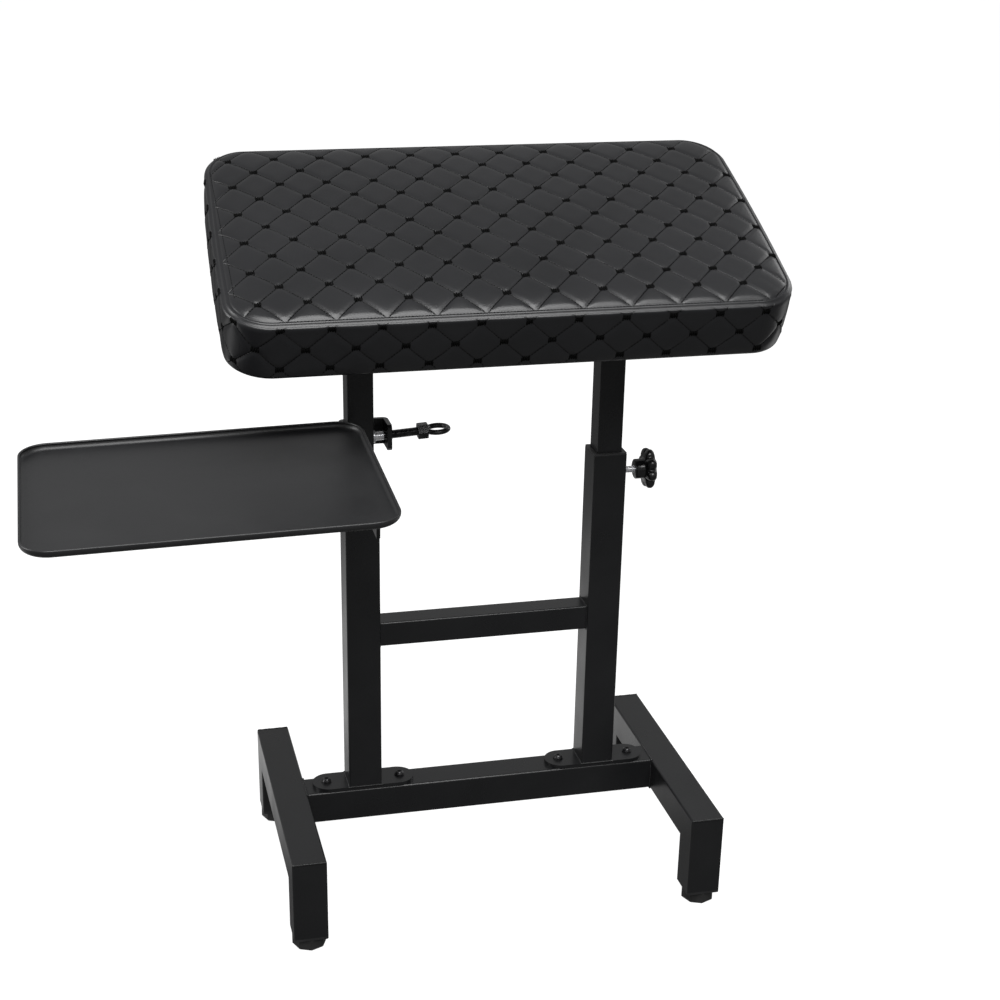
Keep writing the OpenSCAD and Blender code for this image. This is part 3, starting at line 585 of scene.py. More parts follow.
def lattice(x, y, pitchX, pitchY, startX, startY):
    p, q = sewnLines(x, y, pitchX, pitchY, startX, startY)
    spacing = 1 / math.hypot(1 / pitchX, 1 / pitchY)
    nearP, nearQ = np.abs(p - np.round(p)) * spacing, np.abs(q - np.round(q)) * spacing
    pillow = (1 - np.exp(-nearP / quilt["flank"])) * (1 - np.exp(-nearQ / quilt["flank"]))
    tuftX = startX + pitchX * (np.round(p) + np.round(q)) / 2
    tuftY = startY + pitchY * (np.round(p) - np.round(q)) / 2
    reach = np.hypot(x - tuftX, y - tuftY)
    line = np.minimum(nearP, nearQ)
    height = quilt["puff"] * pillow - quilt["crease"] * np.exp(-(line / quilt["creaseWidth"]) ** 2)
    return height - quilt["tuftDepth"] * np.exp(-(reach / quilt["tuftReach"]) ** 2)


def unevenness(x, y, height, seed):
    rng = np.random.default_rng(seed)
    total = np.zeros_like(x)
    for k in range(quilt["unevenWaves"]):
        angle = rng.uniform(0, math.tau)
        size = rng.uniform(*quilt["unevenSizes"])
        phase = rng.uniform(0, math.tau)
        total += np.sin((x * math.cos(angle) + y * math.sin(angle)) * math.tau / size + phase)
    return height * (total / quilt["unevenWaves"])


def bandRow(s, w, length):
    # the band's cloth isn't cut quite along its rows
    return w + quilt["bandLean"] * np.sin(s * math.tau / length)


def makePadCover():
    top, rings, (s, t, ri, rj) = padShell(pad["cell"])
    along, across = s.shape[0] - 1, s.shape[1] - 1
    topShift, bandShift = swellCloth()
    coarseS = stepsAcross(pad["halfWidth"], pad["simCell"])
    coarseT = stepsAcross(pad["halfDepth"], pad["simCell"])
    column = np.interp(s, coarseS, np.arange(len(coarseS)))
    row = np.interp(t, coarseT, np.arange(len(coarseT)))
    top = top + sampleGrid(topShift, column, row)
    corner = (len(coarseS) - 1, len(coarseT) - 1)
    turns = np.cumsum([0, corner[0], corner[1], corner[0]])
    side = np.searchsorted(np.cumsum([across, along, across, along]), np.arange(len(ri)), "right")
    cx, cy = column[rj, ri], row[rj, ri]
    allRound = np.choose(side, [cx, cy, corner[0] - cx, corner[1] - cy]) + turns[side]
    level = (1 - rings[:, 0, 2] / pad["height"]) * (len(bandShift) - 1)
    rings = rings + sampleGrid(bandShift, *np.meshgrid(allRound, level))
    # quilting, pressed in after the cloth
    u, v = outlinePoint(s, t, pad["seamInset"])
    flatU = u - pad["sideBow"] * (u / pad["halfWidth"]) ** 3 * (1 - (v / pad["halfDepth"]) ** 2)
    flatU = flatU - endLean(u / pad["halfWidth"], v / pad["halfDepth"])
    a, b, r = pad["halfWidth"], pad["halfDepth"], pad["corner"]
    cornerU, cornerV = np.maximum(np.abs(flatU) - (a - r), 0), np.maximum(np.abs(v) - (b - r), 0)
    inward = r - pad["seamInset"] - np.hypot(cornerU, cornerV)
    fromEnd, fromSide = a - pad["seamInset"] - np.abs(flatU), b - pad["seamInset"] - np.abs(v)
    inward = np.minimum(inward, np.minimum(fromEnd, fromSide))
    held = np.clip((inward - quilt["topstitch"]) / quilt["fadeIn"], 0, 1) ** 0.5
    quiltTop = lattice(u, v, quilt["pitchU"], quilt["pitchV"], *quilt["tuftAt"])
    offRoll = (inward - seamForm["rollAt"]) / seamForm["rollHalf"]
    roll = seamForm["rollHeight"] * np.sqrt(np.clip(1 - offRoll ** 2, 0, 1))
    groove = seamForm["grooveDepth"] * np.exp(-((inward - quilt["topstitch"]) / seamForm["grooveWidth"]) ** 2)
    rise = pad["edgeRoll"] * (1 - np.exp(-np.maximum(inward, 0) / pad["rollReach"]))
    seam = seamForm["depth"] * np.exp(-(np.maximum(inward, 0) / seamForm["width"]) ** 2)
    uneven = unevenness(u, v, *quilt["unevenTop"])
    top[..., 2] += quiltTop * held + roll - groove - seam + rise + uneven * held
    bandPoints = rings[len(rings) // 2]
    loop = np.concatenate([bandPoints, bandPoints[:1]])
    arc = np.concatenate([[0], np.cumsum(np.linalg.norm(np.diff(loop[:, :2], axis=0), axis=1))])
    pitch = arc[-1] / quilt["bandTufts"]
    middle = arc[np.argmin(np.abs(bandPoints[:across // 2 + 20, 0]))]
    s = np.broadcast_to(arc[:-1] - middle, rings.shape[:2])
    w = rings[..., 2].copy()
    behind, ahead = np.roll(bandPoints, 1, 0), np.roll(bandPoints, -1, 0)
    out = np.stack([ahead[:, 1] - behind[:, 1], behind[:, 0] - ahead[:, 0]], -1)
    out /= np.linalg.norm(out, axis=1, keepdims=True)
    rows = bandRow(s, w, arc[-1])
    quiltBand = lattice(s, rows, pitch, quilt["bandPitch"], *quilt["bandTuftAt"])
    drop = pad["height"] - w
    (seamStart, seamFade), (hemStart, hemFade) = quilt["bandFadeTop"], quilt["bandFadeHem"]
    heldBand = np.clip((drop - seamStart) / seamFade, 0, 1) * np.clip((w - hemStart) / hemFade, 0, 1)
    bandMove = quiltBand * heldBand + unevenness(s, w, *quilt["unevenBand"]) * heldBand
    bandMove -= seamForm["bandDepth"] * np.exp(-(drop / seamForm["bandWidth"]) ** 2)
    rings[..., :2] += out[None] * (bandMove - quilt["puff"] * quilt["bandSettle"] * heldBand)[..., None]
    # the hem folds under the board and closes behind the dust cover
    rimS, rimT = stepsAcross(a, pad["cell"])[ri], stepsAcross(b, pad["cell"])[rj]
    hemRings = []
    for inset, height in pad["hem"]:
        hu, hv = outlinePoint(rimS, rimT, pad["hemDrawIn"] + inset * mm)
        hemRings.append(np.stack([hu, hv, np.full(len(ri), height * mm)], -1))
    sewnRings = len(rings)
    rings = np.concatenate([rings, np.array(hemRings)])
    verts = np.concatenate([top.reshape(-1, 3), rings.reshape(-1, 3), [[0, 0, pad["hem"][-1][1] * mm]]])
    faces, hem = shellFaces(across, along, len(rings), ri, rj)
    centre = len(verts) - 1
    faces += [(centre, hem[(k + 1) % len(hem)], hem[k]) for k in range(len(hem))]
    cover = meshPiece("padCover", verts, faces, finishes["upholstery"])
    # where the sewn lines run, for the leather's crease bump and its painted shade along the lines
    plain = np.full((len(cover.data.loops), 2), 0.5)
    count = across * along
    tp, tq = sewnLines(u, v, quilt["pitchU"], quilt["pitchV"], *quilt["tuftAt"])
    sewn = inward > quilt["topstitch"]
    near, far = slice(0, -1), slice(1, None)
    quads = [(near, near), (near, far), (far, far), (far, near)]
    covered = sewn[:-1, :-1] & sewn[1:, 1:] & sewn[:-1, 1:] & sewn[1:, :-1]
    topMap = np.stack([np.stack([np.where(covered, g[c], 0.5) for c in quads], -1) for g in (tp, tq)], -1)
    plain[:count * 4] = topMap.reshape(-1, 2)
    arcs = arc - middle
    levels = np.concatenate([[pad["height"]], w[:, 0]])
    gs, gw = np.meshgrid(arcs, levels)
    bp, bq = sewnLines(gs, bandRow(gs, gw, arc[-1]), pitch, quilt["bandPitch"], *quilt["bandTuftAt"])
    corners = [(far, near), (far, far), (near, far), (near, near)]
    bandMap = np.stack([np.stack([g[c] for c in corners], -1) for g in (bp, bq)], -1)
    bandMap[0] = 0.5
    plain[count * 4:count * 4 + sewnRings * len(ri) * 4] = bandMap.reshape(-1, 2)
    layer = cover.data.uv_layers.new(name="sewnLines")
    layer.data.foreach_set("uv", plain.ravel())
    return cover, pitch, middle, arc, bandPoints, out


padCover, bandPitch, bandMiddle, bandArc, bandLoop, bandOut = makePadCover()
padFaces = [tuple(p.vertices) for p in padCover.data.polygons]
padSkin = BVHTree.FromPolygons([v.co.copy() for v in padCover.data.vertices], padFaces)
print("pad cover made:", len(padCover.data.polygons), "faces")


# sewing: every stitch and tuft sits on the finished skin
sewing = {
    "stitch": 2.6 * mm,
    "gap": 0.9 * mm,
    "threadWidth": 0.85 * mm,
    "threadHeight": 0.68 * mm,
    "cornerSteps": 24,
    "tuftGap": 3.5 * mm,  # between a stitched line's end and the tuft
    "tuftInside": (1.012, 1.02),  # u and v times this still lie inside the topstitch
    "bandStitches": (3 * mm, 2 * mm),  # clear of the hem and of the seam
    "bandTufts": (6 * mm, 2.5 * mm),
    "tuftAhead": 2 * mm,  # to the point that gives a band tuft its direction
    "rowsEachWay": 20,
    "tuftsEachWay": 30,
    "rayAbove": 0.12,
    "rayBeside": 0.02,
    "leastRise": 0.5,  # of the skin's normal, for a place on the top
    "strands": 4,
    "strandLength": 8.4 * mm,
    "strandWidth": 3 * mm,
    "strandHeight": 3.8 * mm,
    "strandSpacing": 2.4 * mm,
}


def onTop(u, v):
    hit = padSkin.ray_cast(Vector((u, v, sewing["rayAbove"])), Vector((0, 0, -1)))
    return (hit[0], hit[1]) if hit[0] and hit[1].z > sewing["leastRise"] else None


def onBand(s, row):
    w = row - bandRow(s, 0, bandArc[-1])
    arc = (s + bandMiddle) % bandArc[-1]
    k = int(np.searchsorted(bandArc, arc, "right") - 1) % len(bandLoop)
    share = (arc - bandArc[k]) / max(bandArc[k + 1] - bandArc[k], tiny)
    n = (k + 1) % len(bandLoop)
    place = bandLoop[k] * (1 - share) + bandLoop[n] * share
    away = bandOut[k] * (1 - share) + bandOut[n] * share
    start = Vector((*(place[:2] + away * sewing["rayBeside"]), w))
    hit = padSkin.ray_cast(start, Vector((-away[0], -away[1], 0)))
    return (hit[0], hit[1]) if hit[0] else None


def walkLine(finder, start, end, inside):
    step = sewing["stitch"] + sewing["gap"]
    length = math.dist(start, end)
    half = sewing["stitch"] / 2 / max(length, tiny)
    found = []
    for n in range(int(length / step)):
        share = (n + 0.5) * step / length
        middle = between(start, end, share)
        if not inside(*middle):
            continue
        here, there = finder(*middle), finder(*between(start, end, share + half))
        if here and there:
            along = (there[0] - here[0]).normalized()
            found.append((here[0], here[1], along))
    return found


def insideTop(u, v):
    a, b = (pad[half] - pad["seamInset"] - quilt["topstitch"] for half in ("halfWidth", "halfDepth"))
    r = pad["corner"] - quilt["topstitch"]
    if abs(u) > a or abs(v) > b:
        return False
    return math.hypot(max(abs(u) - (a - r), 0), max(abs(v) - (b - r), 0)) < r


def insideBand(s, row):
    aboveHem, belowSeam = sewing["bandStitches"]
    return aboveHem < row - bandRow(s, 0, bandArc[-1]) < pad["height"] - belowSeam


def latticeTufts(pitchX, pitchY, start, x0, x1, y0, y1):
    spots = []
    for row in range(-sewing["rowsEachWay"], sewing["rowsEachWay"] + 1):
        y = start[1] + row * pitchY / 2
        if not y0 < y < y1:
            continue
        for k in range(-sewing["tuftsEachWay"], sewing["tuftsEachWay"] + 1):
            x = start[0] + (k + (row % 2) / 2) * pitchX
            if x0 < x < x1:
                spots.append((x, y))
    return spots


def gatherSewing():
    stitches, tufts = [], []
    a, b = pad["halfWidth"], pad["halfDepth"]
    px, py = quilt["pitchU"], quilt["pitchV"]
    for x, y in latticeTufts(px, py, quilt["tuftAt"], -a - px, a + px, -b - py, b + py):
        for side in (-1, 1):
            end = (x + side * px / 2, y + py / 2)
            keep = sewing["tuftGap"] / math.dist((x, y), end)
            stitches += walkLine(onTop, between((x, y), end, keep), between(end, (x, y), keep), insideTop)
        if insideTop(x * sewing["tuftInside"][0], y * sewing["tuftInside"][1]):
            spot = onTop(x, y)
            if spot:
                tufts.append((spot[0], spot[1], Vector((1, 0, 0))))
    half = bandArc[-1] / 2
    px, py = bandPitch, quilt["bandPitch"]
    for x, y in latticeTufts(px, py, quilt["bandTuftAt"], -half, half, -py, pad["height"] + py):
        for side in (-1, 1):
            end = (x + side * px / 2, y + py / 2)
            stitches += walkLine(onBand, (x, y), end, insideBand)
        if sewing["bandTufts"][0] < y < pad["height"] - sewing["bandTufts"][1]:
            spot = onBand(x, y)
            ahead = onBand(x + sewing["tuftAhead"], y)
            if spot and ahead:
                tufts.append((spot[0], spot[1], (ahead[0] - spot[0]).normalized()))
    # the topstitch beside the seam
    inset = pad["seamInset"] + quilt["topstitch"]
    corners = roundedLoop(a, b, pad["corner"], inset, sewing["cornerSteps"])
    corners.append(corners[0])
    for first, second in zip(corners, corners[1:]):
        stitches += walkLine(onTop, first, second, lambda u, v: True)
    return stitches, tufts


def sewingTree(name, strands):
    tree = bpy.data.node_groups.new(name, "GeometryNodeTree")
    face = tree.interface
    face.new_socket("Geometry", in_out="INPUT", socket_type="NodeSocketGeometry")
    for label in ("Length", "Width", "Height", "Spacing"):
        face.new_socket(label, in_out="INPUT", socket_type="NodeSocketFloat")
    face.new_socket("Thread", in_out="INPUT", socket_type="NodeSocketMaterial")
    face.new_socket("Geometry", in_out="OUTPUT", socket_type="NodeSocketGeometry")
    inlet, outlet = tree.nodes.new("NodeGroupInput"), tree.nodes.new("NodeGroupOutput")
    ball = addNode(tree, "GeometryNodeMeshUVSphere", Segments=6, Rings=4, Radius=0.5)
    size = tree.nodes.new("ShaderNodeCombineXYZ")
    for label, axis in (("Length", "X"), ("Width", "Y"), ("Height", "Z")):
        wire(tree, inlet, label, size, axis)
    shape = tree.nodes.new("GeometryNodeTransform")
    wire(tree, ball, "Mesh", shape, "Geometry")
    wire(tree, size, "Vector", shape, "Scale")
    one = shape.outputs["Geometry"]
    if strands > 1:
        row = addNode(tree, "GeometryNodeMeshLine", Count=strands)
        back = addNode(tree, "ShaderNodeMath", operation="MULTIPLY")
        back.inputs[1].default_value = -(strands - 1) / 2
        wire(tree, inlet, "Spacing", back, 0)
        start, offset = (tree.nodes.new("ShaderNodeCombineXYZ") for n in range(2))
        wire(tree, back, "Value", start, "Y")
        wire(tree, inlet, "Spacing", offset, "Y")
        wire(tree, start, "Vector", row, "Start Location")
        wire(tree, offset, "Vector", row, "Offset")
        bundle = tree.nodes.new("GeometryNodeInstanceOnPoints")
        wire(tree, row, "Mesh", bundle, "Points")
        tree.links.new(one, bundle.inputs["Instance"])
        one = bundle.outputs["Instances"]
    lean = addNode(tree, "GeometryNodeInputNamedAttribute", data_type="FLOAT_VECTOR", Name="outward")
    along = addNode(tree, "GeometryNodeInputNamedAttribute", data_type="FLOAT_VECTOR", Name="along")
    toOut = addNode(tree, "FunctionNodeAlignRotationToVector", axis="Z")
    wire(tree, lean, "Attribute", toOut, "Vector")
    toAlong = addNode(tree, "FunctionNodeAlignRotationToVector", axis="X", pivot_axis="Z")
    wire(tree, toOut, "Rotation", toAlong, "Rotation")
    wire(tree, along, "Attribute", toAlong, "Vector")
    place = tree.nodes.new("GeometryNodeInstanceOnPoints")
    wire(tree, inlet, "Geometry", place, "Points")
    tree.links.new(one, place.inputs["Instance"])
    wire(tree, toAlong, "Rotation", place, "Rotation")
    last = place.outputs["Instances"]
    for kind in ("RealizeInstances", "SetShadeSmooth", "SetMaterial"):
        step = tree.nodes.new("GeometryNode" + kind)
        tree.links.new(last, step.inputs["Geometry"])
        last = step.outputs["Geometry"]
    wire(tree, inlet, "Thread", step, "Material")
    tree.links.new(last, outlet.inputs["Geometry"])
    return tree


def scatter(name, spots, tree, values):
    data = bpy.data.meshes.new(name)
    data.from_pydata([tuple(s[0]) for s in spots], [], [])
    for label, column in (("outward", 1), ("along", 2)):
        attribute = data.attributes.new(label, "FLOAT_VECTOR", "POINT")
        attribute.data.foreach_set("vector", [c for s in spots for c in s[column]])
    points = newObject(name + "Points", data)
    modifier = points.modifiers.new("scatter", "NODES")
    modifier.node_group = tree
    sockets = {i.name: i.identifier for i in tree.interface.items_tree if i.in_out == "INPUT"}
    for label, value in values.items():
        modifier[sockets[label]] = value
    graph = bpy.context.evaluated_depsgraph_get()
    graph.update()
    made = bpy.data.meshes.new_from_object(points.evaluated_get(graph), depsgraph=graph)
    made.name = name
    piece = newObject(name, made)
    bpy.data.objects.remove(points)
    return piece


stitchSpots, tuftSpots = gatherSewing()
print("stitches", len(stitchSpots), "tufts", len(tuftSpots))
stitchPiece = scatter("padStitches", stitchSpots, sewingTree("stitchLine", 1), {
    "Length": sewing["stitch"], "Width": sewing["threadWidth"], "Height": sewing["threadHeight"],
    "Thread": thread})
# a tuft's strands lie across the pad's long side
crossed = [(p, n, n.cross(d).normalized()) for p, n, d in tuftSpots]
tuftPiece = scatter("padTufts", crossed, sewingTree("barTack", sewing["strands"]), {
    "Length": sewing["strandLength"], "Width": sewing["strandWidth"], "Height": sewing["strandHeight"],
    "Spacing": sewing["strandSpacing"], "Thread": thread})

for piece in (padCover, stitchPiece, tuftPiece):
    piece.data.transform(padPlace)
handOver(padCover, "pad", "upholstery", "pad_cover")
handOver(stitchPiece, "pad", "upholstery")
handOver(tuftPiece, "pad", "upholstery")
print("pad dressed")


# weld beads, ball by ball: round the tubes' ends and along the ground corners of the feet
welds = {
    "step": 1.5 * mm,
    "length": 3.2 * mm,
    "width": 3 * mm,
    "height": 2.6 * mm,
    "sink": 0.5 * mm,
    "groundSink": 0.8 * mm,  # where the bead is ground back on a corner
    "wobble": 0.14 * mm,
    "seed": 12,
    "endGap": 2 * mm,
}


def beadLine(start, end, outward, sink):
    rng = np.random.default_rng(welds["seed"])
    start, end, outward = Vector(start), Vector(end), Vector(outward).normalized()
    along = (end - start).normalized()
    count = int((end - start).length / welds["step"])
    spots = []
    for n in range(count + 1):
        place = start.lerp(end, n / count) - outward * sink
        place += outward * float(rng.uniform(-1, 1)) * welds["wobble"]
        spots.append((place, outward, along))
    return spots


def beadRound(x0, x1, z0, z1, at, axis, into):
    # around a tube's square end; axis is the tube's own, into points at what it is welded to
    def lift(p):
        return (at, *p) if axis == "x" else (*p, at)
    spots = []
    corners = [(x0, z0), (x1, z0), (x1, z1), (x0, z1), (x0, z0)]
    sides = [(0, -1), (1, 0), (0, 1), (-1, 0)]
    for (first, second), side in zip(zip(corners, corners[1:]), sides):
        away = Vector(lift(side)) - Vector(lift((0, 0))) - Vector(into)
        spots += beadLine(lift(first), lift(second), away, welds["sink"])
    return spots


def gatherWelds():
    spots = []
    for side in ("left", "right"):
        low, high = nodeBox(side + "_foot_rail")
        for y, away in ((low[1], -1), (high[1], 1)):
            start, end = (low[0] + welds["endGap"], y, high[2]), (high[0] - welds["endGap"], y, high[2])
            spots += beadLine(start, end, (0, away, 1), welds["groundSink"])
        low, high = nodeBox(side + "_post")
        spots += beadRound(low[0], high[0], low[1], high[1], low[2], "z", (0, 0, -1))
    for name in ("crossbar", "cross_beam"):
        low, high = nodeBox(name)
        spots += beadRound(low[1], high[1], low[2], high[2], low[0], "x", (-1, 0, 0))
        spots += beadRound(low[1], high[1], low[2], high[2], high[0], "x", (1, 0, 0))
    return spots


weldPiece = scatter("weldBeads", gatherWelds(), sewingTree("weldBead", 1), {
    "Length": welds["length"], "Width": welds["width"], "Height": welds["height"],
    "Thread": finishes["powder_coat"]})
handOver(weldPiece, bodyOf["cross_beam"], "powder_coat")
print("welds laid")


# star knobs: a fluted head that bulges in its middle, on a stepped hub
knobs = {
    "lobes": 8,
    "fluteShare": 0.24,  # of the head's radius
    "fluteFrom": 0.52,  # share of the radius where the flutes start
    "fluteReach": 0.3,
    "flutePower": 0.8,
    "lobeStart": 11.25,  # degrees
    "roundSteps": 96,
    # radius and distance from the hub's end, both as shares
    "profile": ((0, 0), (0.44, 0), (0.48, 0.03), (0.48, 0.4), (0.53, 0.46), (0.7, 0.48), (0.84, 0.51),
                (0.93, 0.56), (0.985, 0.63), (1, 0.71), (0.995, 0.79), (0.96, 0.87), (0.89, 0.93),
                (0.78, 0.975), (0.66, 1), (0.5, 0.985), (0.46, 0.96), (0.4, 0.95), (0, 0.95)),
}


def makeKnob(name):
    low, high = nodeBox(name)
    centre = (low + high) / 2
    length, radius = high[0] - low[0], (high[2] - low[2]) / 2
    outward = 1 if name.startswith("right") else -1
    start = low[0] if outward > 0 else high[0]
    steps = knobs["roundSteps"]
    verts = []
    for share, along in knobs["profile"]:
        x = start + outward * length * along
        lobed = min(1, max(0, (share - knobs["fluteFrom"]) / knobs["fluteReach"]))
        for k in range(steps):
            angle = math.tau * k / steps
            wave = abs(math.cos((angle - math.radians(knobs["lobeStart"])) * knobs["lobes"] / 2))
            cut = 1 - knobs["fluteShare"] * lobed * (1 - wave ** knobs["flutePower"])
            r = radius * share * cut
            verts.append((x, centre[1] + r * math.cos(angle), centre[2] + r * math.sin(angle)))
    faces = ringFaces(len(knobs["profile"]), steps)
    if outward > 0:
        faces = [face[::-1] for face in faces]
    piece = meshPiece(name + "Visual", verts, faces, finishes["knob_plastic"])
    faceOutward(piece, 0.01 * mm)
    handOver(piece, bodyOf[name], "knob_plastic", name)


for knobName in ("left_lock_knob", "left_tilt_knob", "right_lock_knob", "right_tilt_knob"):
    makeKnob(knobName)
print("knobs made")


# threads: the studs' and the eye screw's crests run in a helix
threads = {
    "left_lock_stud": 1.25 * mm,
    "right_lock_stud": 1.25 * mm,
    "clamp_screw": 1.5 * mm,
}
threadCut = {"depthShare": 0.055, "roundSteps": 20, "rowsPerTurn": 6, "endTaper": 0.12}


def makeThread(name, pitch):
    points = nodePoints(name)
    middle = points.mean(0)
    axis = np.linalg.svd(points - middle)[2][0]
    if axis[0] < 0:
        axis = -axis
    along = (points - middle) @ axis
    away = np.linalg.norm(points - middle - along[:, None] * axis, axis=1)
    radius, start, length = away.max(), along.min(), np.ptp(along)
    side = np.cross(axis, (0, 0, 1))
    side /= np.linalg.norm(side)
    up = np.cross(side, axis)
    steps = threadCut["roundSteps"]
    rows = int(length / pitch * threadCut["rowsPerTurn"])
    verts = []
    for j in range(rows + 1):
        at = start + length * j / rows
        ending = min(1, min(j, rows - j) / threadCut["rowsPerTurn"])
        for k in range(steps):
            turn = abs(((at - start) / pitch - k / steps) % 1 - 0.5) * 2
            cut = threadCut["depthShare"] * 2 * turn * ending + threadCut["endTaper"] * (1 - ending)
            r = radius * (1 - cut)
            angle = math.tau * k / steps
            verts.append(middle + axis * at + side * r * math.cos(angle) + up * r * math.sin(angle))
    faces = ringFaces(rows + 1, steps)
    faces.append(tuple(range(steps)))
    faces.append(tuple(rows * steps + k for k in reversed(range(steps))))
    piece = meshPiece(name + "Thread", verts, faces, finishes[slotOf[name]])
    faceOutward(piece)
    handOver(piece, bodyOf[name], slotOf[name], name)


for screwName, pitch in threads.items():
    makeThread(screwName, pitch)
print("threads cut")


# the tray: pressed sheet with a rounded foot and a hemmed rim
traySet = {
    "sheet": 1.2 * mm,
    "hem": 2.6 * mm,  # width of the folded rim
    "foot": 5 * mm,  # radius between the floor and the wall
    "floorInsets": (23 * mm, 14 * mm),
    "lipShares": (0.9, 0.8, 0.85),  # of the hem: the wall's top, the lip's width and its depth
    "corner": 31 * mm,
    "cornerSteps": 14,
    "arcSteps": 6,
}


def arcOf(centre, radius, start, end):
    steps = traySet["arcSteps"]
    turns = [math.radians(start + (end - start) * k / steps) for k in range(steps + 1)]
    return [(centre[0] + radius * math.cos(t), centre[1] + radius * math.sin(t)) for t in turns]


def makeTray():
    points = nodePoints("tray")
    middle = points.mean(0)
    axes = np.linalg.svd(points - middle, full_matrices=False)[2]
    across = axes[0] * np.sign(axes[0][0])
    up = axes[2] * np.sign(axes[2][2])
    deep = np.cross(up, across)
    turn = np.array([across, deep, up])
    local = (points - middle) @ turn.T
    low, high = local.min(0), local.max(0)
    a, b = (high[:2] - low[:2]) / 2
    height = high[2] - low[2]
    sheet, hem, foot = traySet["sheet"], traySet["hem"], traySet["foot"]
    # inset from the rim's outside, and height: inner floor, wall, hem, outer wall, underside
    wallTop, lipWidth, lipDepth = (share * hem for share in traySet["lipShares"])
    profile = [(inset, sheet) for inset in traySet["floorInsets"]]
    profile += arcOf((sheet + foot, sheet + foot), foot, 270, 180)
    profile += [(sheet, height - wallTop), (lipWidth, height - lipDepth)]
    profile += arcOf((hem / 2, height - hem / 2), hem / 2, 0, 180)
    profile += arcOf((foot + sheet, foot + sheet), foot + sheet, 180, 270)
    profile += [(traySet["floorInsets"][0], 0)]
    verts = []
    for inset, rise in profile:
        loop = roundedLoop(a, b, traySet["corner"], max(inset, 0), traySet["cornerSteps"])
        verts += [(x, y, rise) for x, y in loop]
    n = len(loop)
    faces = ringFaces(len(profile), n)
    faces.append(tuple(range(n)))
    faces.append(tuple((len(profile) - 1) * n + k for k in reversed(range(n))))
    centre = (low + high) / 2
    centre[2] = low[2]
    placed = (np.array(verts) + centre) @ turn + middle
    piece = meshPiece("trayVisual", placed, faces, finishes["tray_paint"])
    faceOutward(piece)
    handOver(piece, bodyOf["tray"], "tray_paint", "tray")


makeTray()
print("tray pressed")


# light and backdrop
studio = {
    "white": 1.0,
    "roomGlow": 0.38,
    "mirrorGlow": 0.36,
    "floorTint": 0.3,
    "floorBounce": 0.08,  # the floor's tint for all but the camera
    "floorGlow": 0.89,
    "floorShine": 0.75,  # how bright the floor behind the stand is in reflections
    "floorShineFar": 0.06,
    "shineFrom": (0.05, 0.4),  # metres behind the stand
    "shineTo": (0.65, 1.25),
    "floorHalf": 14,
    "floorSink": 0.4 * mm,
}
lamps = {  # place, aim, width, height and watts
    "overhead": ((0, -1.0, 2.9), (0, 0.05, 0.7), 2.2, 0.9, 50),
    "frontSoftbox": ((-0.1, -2.1, 2.6), (0, 0, 0.4), 2.4, 1.2, 66),
    "leftSoftbox": ((-2.4, 0.3, 1.5), (0, 0, 0.5), 0.9, 1.9, 36),
    "rearRight": ((2.2, 1.2, 1.5), (0, 0, 0.5), 1.0, 1.4, 9),
}


def makeWorld():
    world = bpy.data.worlds.new("studio")
    bpy.context.scene.world = world
    world.use_nodes = True
    tree = world.node_tree
    tree.nodes.clear()
    out = tree.nodes.new("ShaderNodeOutputWorld")
    shade = addNode(tree, "ShaderNodeBackground", Color=(1, 1, 1, 1))
    rays = tree.nodes.new("ShaderNodeLightPath")
    glossy = addNode(tree, "ShaderNodeMath", operation="MAXIMUM")
    wire(tree, rays, "Is Glossy Ray", glossy, 0)
    wire(tree, rays, "Is Transmission Ray", glossy, 1)
    mirrored = spread(tree, glossy.outputs["Value"], studio["roomGlow"], studio["mirrorGlow"], 0, 1)
    seen = addNode(tree, "ShaderNodeMix", data_type="FLOAT", B=studio["white"])
    wire(tree, rays, "Is Camera Ray", seen, "Factor")
    tree.links.new(mirrored, seen.inputs["A"])
    wire(tree, seen, "Result", shade, "Strength")
    wire(tree, shade, "Background", out, "Surface")


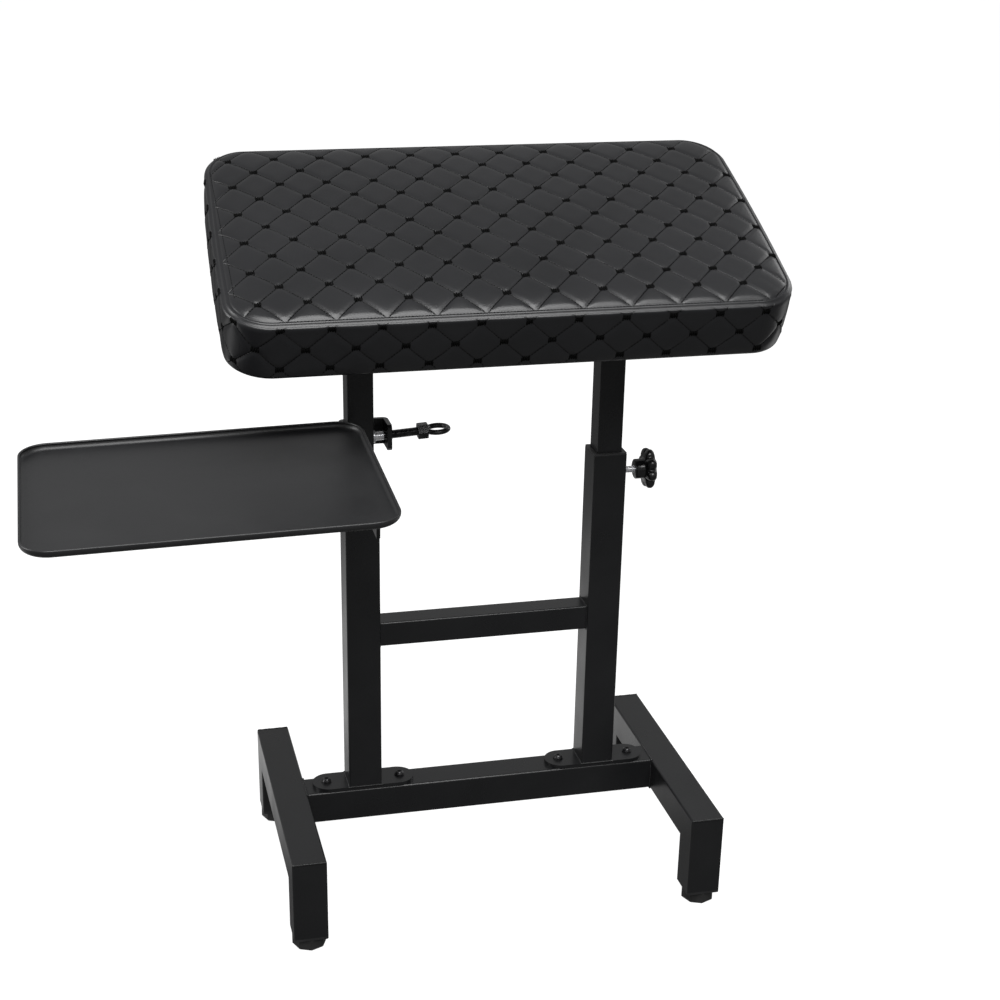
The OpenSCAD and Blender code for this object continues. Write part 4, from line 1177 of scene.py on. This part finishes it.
def makeFloor():
    mat = bpy.data.materials.new("floor")
    mat.use_nodes = True
    tree = mat.node_tree
    tree.nodes.clear()
    out = tree.nodes.new("ShaderNodeOutputMaterial")
    rough = tree.nodes.new("ShaderNodeBsdfDiffuse")
    glow = tree.nodes.new("ShaderNodeEmission")
    rays = tree.nodes.new("ShaderNodeLightPath")
    bounce, seen = ((studio[key],) * 3 for key in ("floorBounce", "floorTint"))
    tint = mixTint(tree, rays.outputs["Is Camera Ray"], bounce, seen)
    tree.links.new(tint, rough.inputs["Color"])
    place = tree.nodes.new("ShaderNodeSeparateXYZ")
    tree.links.new(objectPoint(tree), place.inputs["Vector"])
    dim, bright = studio["floorShineFar"], studio["floorShine"]
    rise = spread(tree, place.outputs["Y"], dim, bright, *studio["shineFrom"])
    fall = spread(tree, place.outputs["Y"], bright, dim, *studio["shineTo"])
    shine = addNode(tree, "ShaderNodeMath", operation="MINIMUM")
    tree.links.new(rise, shine.inputs[0])
    tree.links.new(fall, shine.inputs[1])
    mirrored = addNode(tree, "ShaderNodeMath", operation="MULTIPLY")
    wire(tree, shine, "Value", mirrored, 0)
    wire(tree, rays, "Is Glossy Ray", mirrored, 1)
    strength = addNode(tree, "ShaderNodeMix", data_type="FLOAT", B=studio["floorGlow"])
    wire(tree, rays, "Is Camera Ray", strength, "Factor")
    wire(tree, mirrored, "Value", strength, "A")
    wire(tree, strength, "Result", glow, "Strength")
    both = tree.nodes.new("ShaderNodeAddShader")
    wire(tree, rough, "BSDF", both, 0)
    wire(tree, glow, "Emission", both, 1)
    wire(tree, both, "Shader", out, "Surface")
    data = bpy.data.meshes.new("floor")
    side = studio["floorHalf"]
    corners = [(-side, -side, 0), (side, -side, 0), (side, side, 0), (-side, side, 0)]
    data.from_pydata(corners, [], [(0, 1, 2, 3)])
    data.materials.append(mat)
    floor = newObject("floor", data)
    floor.location.z = -studio["floorSink"]


def areaLight(name, place, aim, width, height, power):
    data = bpy.data.lights.new(name, "AREA")
    data.shape = "RECTANGLE"
    data.size, data.size_y = width, height
    data.energy = power
    lamp = newObject(name, data)
    lamp.location = place
    lamp.rotation_euler = (Vector(aim) - Vector(place)).to_track_quat("-Z", "Y").to_euler()
    lamp.visible_camera = False


makeWorld()
makeFloor()
for lampName, values in lamps.items():
    areaLight(lampName, *values)
print("studio lit")
